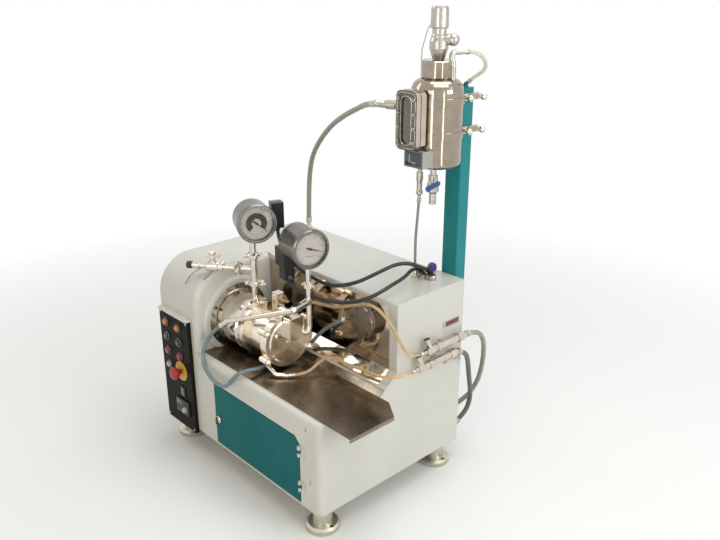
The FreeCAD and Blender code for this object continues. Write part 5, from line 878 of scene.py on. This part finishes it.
# Domed nuts of the pipe clamps
upward = Vector((0, 0, 1))
clampWay = Vector((math.cos(math.radians(50)), math.sin(math.radians(50)), 0.0))
domeProfile = [(-5.8, 0.0), (-5.8, 2.6), (-4.2, 5.2), (-1.6, 6.8), (1.6, 6.9), (4.2, 5.6), (5.8, 3.0),
               (6.3, 0.0)]
for index, z in enumerate((543.0, 623.0)):
    for letter, side in (("A", -1), ("B", 1)):
        addLathe({"name": "clampNut%d%s" % (index, letter), "profile": domeProfile, "steps": 32,
                  "start": Vector((stemX, spindleY, z)) + clampWay * side * 21.0,
                  "axis": clampWay * side + upward * 0.9, **polished})
branchWay = Vector((-0.809, -0.588, 0.0))
teeCentre = Vector((stemX, spindleY, 583.0))
for index, (reach, lift) in enumerate(((44.0, 18.0), (44.0, -18.0), (88.0, 12.0))):
    addLathe({"name": "branchNut%d" % index, "profile": [(d * 0.8, r * 0.8) for d, r in domeProfile],
              "start": teeCentre + branchWay * reach + upward * lift, "axis": (0.3, -0.3, 1), "steps": 32,
              **polished})

# Sampling valve: domed top on the handle, black cap on the nozzle as painted shade for its dark open mouth,
# two hanging lock wires
valveProfile = [(0.0, 0.0), (0.0, 8.6), (2.0, 9.6), (7.0, 10.6), (10.0, 10.2), (12.2, 8.4), (13.3, 5.2),
                (13.7, 2.0), (13.7, 0.0)]
shadeCapProfile = [(0.0, 5.6), (0.0, 9.6), (3.0, 10.6), (13.0, 10.6), (15.0, 9.4), (15.6, 6.0), (15.6, 0.0),
              (12.0, 0.0), (12.0, 5.6), (0.0, 5.6)]
addLathe({"name": "valveDome", "profile": valveProfile, "axis": upward, "body": "sample_valve_handle",
          "start": teeCentre + branchWay * 118.0 + upward * 33.0, **polished})
# Black closed cap on the nozzle end: painted shade standing in for the dark inside of the open mouth
addLathe({"name": "nozzleShadeCap", "profile": shadeCapProfile, "start": teeCentre + branchWay * 178.0,
          "axis": branchWay, **rubber})
lockWires = [
    {"name": "lockWireLong", "diameter": 1.8, "points": [
        (-190, -216, 575), (-205, -226, 566), (-221, -236, 549), (-234, -243, 527), (-243, -248, 503),
        (-249, -251, 480)]},
    {"name": "lockWireShort", "diameter": 2.2, "points": [
        (-160, -200, 571), (-166, -209, 561), (-174, -217, 549), (-184, -225, 538)]},
]
for spec in lockWires:
    addTube({**spec, "material": "darkSteel", "slot": "dark_steel", "fineness": (8, 3)})


# Level glass: seam between flange and body, grooves round the window; display bezel, screen, and pale bars on
# it that paint a glint (painted highlight)

def roundedRing(spec):  # loops of (width, height, corner radius, y)
    bm = bmesh.new()
    loops = []
    for width, height, radius, y in spec["loops"]:
        loop = []
        for cornerX, cornerZ, first in ((1, 1, 0), (-1, 1, 90), (-1, -1, 180), (1, -1, 270)):
            for step in range(9):
                angle = math.radians(first + 90 * step / 8)
                x = spec["centre"][0] + cornerX * (width / 2 - radius) + radius * math.cos(angle)
                z = spec["centre"][1] + cornerZ * (height / 2 - radius) + radius * math.sin(angle)
                loop.append(bm.verts.new((x * mm, y * mm, z * mm)))
        loops.append(loop)
    bridge(bm, loops)
    bmesh.ops.recalc_face_normals(bm, faces=bm.faces)
    return finishPiece(bm, spec)


glassCentre = (296.0, 1010.0)
roundedRing({"name": "sightSeam", "centre": glassCentre, **rubber,
             "loops": [(68.0, 142.0, 16.0, 95.0), (68.7, 142.7, 16.3, 95.3), (68.7, 142.7, 16.3, 97.2),
                       (68.0, 142.0, 16.0, 97.5)]})
roundedRing({"name": "sightGroove", "centre": glassCentre, **polished,
             "loops": [(60.0, 134.0, 13.0, 81.4), (59.4, 133.4, 12.8, 80.4), (57.4, 131.4, 12.0, 80.2),
                       (56.4, 130.4, 11.8, 81.4)]})
roundedRing({"name": "windowBead", "centre": glassCentre, **polished,
             "loops": [(36.0, 118.0, 15.0, 81.2), (35.2, 117.2, 15.0, 80.0), (33.4, 115.4, 15.0, 79.8),
                       (32.6, 114.6, 15.0, 81.2)]})
roundedRing({"name": "displayBezel", "centre": (310.0, 917.0), "material": "shadedCaseSteel", "slot": "stainless",
             "loops": [(59.0, 41.0, 2.0, 95.2), (59.0, 41.0, 2.0, 93.8), (55.0, 37.0, 1.5, 93.4),
                       (51.0, 33.0, 1.0, 94.2)]})
addBlock({"name": "levelScreen", "low": (285.0, 94.0, 901.0), "high": (335.0, 95.4, 933.0), "bevel": 0.4,
          "material": "screenGlass", "slot": "black_plastic"})
# Pale bars on the level screen: painted highlight where the display shows a glint
for index, (left, right, top) in enumerate(((296.0, 299.0, 927.0), (303.0, 318.0, 910.0))):
    addBlock({"name": "levelGlintBar%d" % index, "low": (left, 93.7, 907.0), "high": (right, 94.3, top),
              "bevel": 0.3, "material": "palePlastic", "slot": "pale_plastic"})
print("stage: fasteners")


# Bare plate and flat bar on the near end panel, corner piece between hood and front panel
rivetProfile = [(0.0, 0.0), (0.0, 1.4), (0.5, 1.2), (0.8, 0.6), (0.85, 0.0)]
addBlock({"name": "ratingPlate", "low": (nearEnd, 178.0, 451.0), "high": (nearEnd + 1.0, 245.0, 470.0),
          "bevel": 0.4, **sheet})
addBlock({"name": "ratingField", "low": (nearEnd + 0.3, 189.0, 454.0), "high": (nearEnd + 1.4, 242.0, 467.0),
          "bevel": 0.3, "material": "plateField", "slot": "stainless"})
for index, y in enumerate((181.0, 243.2)):
    addLathe({"name": "plateRivet%d" % index, "profile": rivetProfile, "start": (nearEnd + 0.9, y, 460.5),
              "axis": along, "steps": 20, **satin})
addBlock({"name": "hoodCorner", "low": (-182.0, -259.0, 316.0), "high": (-168.3, -243.0, 335.2), "bevel": 0.6,
          "material": "cabinetPaint", "slot": "cabinet_paint"})
addBlock({"name": "endBar", "low": (nearEnd, 187.0, 340.0), "high": (nearEnd + 3.0, 243.0, 349.0),
          "bevel": 1.0, **sheet})
for index, y in enumerate((194.0, 236.0)):
    addHex({"name": "endBarScrew%d" % index, "start": (nearEnd + 2.6, y, 344.5), "axis": along, "flats": 5.5,
            "height": 2.4, "spin": 12.0, **satin})
print("stage: plate")


# Floor that runs out to white, soft boxes and world

def seenRays(tree):
    path = tree.nodes.new("ShaderNodeLightPath")
    direct = math2(tree, "MAXIMUM", path.outputs["Is Camera Ray"], path.outputs["Is Glossy Ray"])
    return math2(tree, "MAXIMUM", direct, path.outputs["Is Transmission Ray"])


floorSpec = {"half": 8.0, "sunk": 0.0005, "fadeStart": 0.75, "fadeEnd": 2.3, "sockets": {
    "Base Color": (0.84, 0.84, 0.835, 1.0), "Roughness": 0.8, "Specular IOR Level": 0.1}}
floorMesh = bpy.data.meshes.new("floorPlane")
corners = [(x * floorSpec["half"], y * floorSpec["half"], -floorSpec["sunk"])
           for x, y in ((-1, -1), (1, -1), (1, 1), (-1, 1))]
floorMesh.from_pydata(corners, [], [(0, 1, 2, 3)])
floorPlane = linkObject("floorPlane", floorMesh)
floorMaterial, floorTree, floorShader = startMaterial("floorPlane", floorSpec["sockets"])
distance = floorTree.nodes.new("ShaderNodeVectorMath")
distance.operation = "LENGTH"
floorTree.links.new(objectPlace(floorTree), distance.inputs[0])
fade = remap(floorTree, distance.outputs["Value"], floorSpec["fadeStart"], floorSpec["fadeEnd"], 0.0, 1.0)
white = floorTree.nodes.new("ShaderNodeEmission")
blend = floorTree.nodes.new("ShaderNodeMixShader")
floorTree.links.new(math2(floorTree, "MULTIPLY", fade, seenRays(floorTree)), blend.inputs[0])
floorTree.links.new(floorShader.outputs[0], blend.inputs[1])
floorTree.links.new(white.outputs[0], blend.inputs[2])
floorTree.links.new(blend.outputs[0], floorTree.nodes["Material Output"].inputs["Surface"])
floorMesh.materials.append(floorMaterial)

tankTarget = (0.30, 0.186, 0.95)
pane = {"target": (0.24, -0.02, 0.36), "size": (0.34, 0.80), "power": 2.6, "colour": (1.0, 0.95, 0.86)}
softBoxes = [
    {"name": "topBox", "place": (0.5, 0.5, 3.2), "target": (0.1, 0.1, 0.4), "size": (2.4, 2.0), "power": 44.0,
     "colour": (0.97, 0.99, 1.0)},
    {"name": "nearBox", "place": (2.7, 0.5, 1.6), "target": (0.1, 0.0, 0.5), "size": (1.2, 1.4),
     "power": 24.0, "colour": (1.0, 0.99, 0.96)},
    {"name": "doorBox", "place": (0.9, -2.7, 1.5), "target": (0.1, 0.0, 0.4), "size": (1.2, 1.2),
     "power": 9.0, "colour": (1.0, 0.94, 0.84)},
    {"name": "stripLeft", "place": (1.02, -1.55, 0.75), "target": tankTarget, "size": (0.22, 1.3),
     "power": 3.6, "colour": (1.0, 0.97, 0.92)},
    {"name": "paneUpper", "place": (-1.40, -0.95, 2.05), **pane},
    {"name": "paneLower", "place": (-1.40, -0.52, 2.05), **pane},
    {"name": "stripRight", "place": (2.1, -0.45, 0.70), "target": tankTarget, "size": (0.12, 1.2),
     "power": 2.6, "colour": (1.0, 0.98, 0.95)},
]
for spec in softBoxes:
    data = bpy.data.lights.new(spec["name"], "AREA")
    data.shape = "RECTANGLE"
    data.size, data.size_y = spec["size"]
    data.energy = spec["power"]
    data.color = spec["colour"]
    light = linkObject(spec["name"], data)
    light.location = spec["place"]
    aim = Vector(spec["target"]) - Vector(spec["place"])
    light.rotation_euler = aim.to_track_quat("-Z", "Y").to_euler()
    light.visible_camera = False

world = bpy.data.worlds.new("studioWorld")
bpy.context.scene.world = world
world.use_nodes = True
worldTree = world.node_tree
background = worldTree.nodes["Background"]
worldSplit = worldTree.nodes.new("ShaderNodeSeparateXYZ")
worldTree.links.new(worldTree.nodes.new("ShaderNodeTexCoord").outputs["Generated"], worldSplit.inputs[0])
side = remap(worldTree, worldSplit.outputs["Y"], -0.9, 0.2, 0.0, 1.0)
ambient = mixColour(worldTree, side, (0.40, 0.355, 0.29), (0.56, 0.58, 0.575))  # warm in front, cool behind
seen = mixColour(worldTree, seenRays(worldTree), ambient, (1.0, 1.0, 1.0))
worldTree.links.new(seen, background.inputs["Color"])
background.inputs["Strength"].default_value = 1.0
print("stage: lights")

print("pieces added:", len(addedPieces))
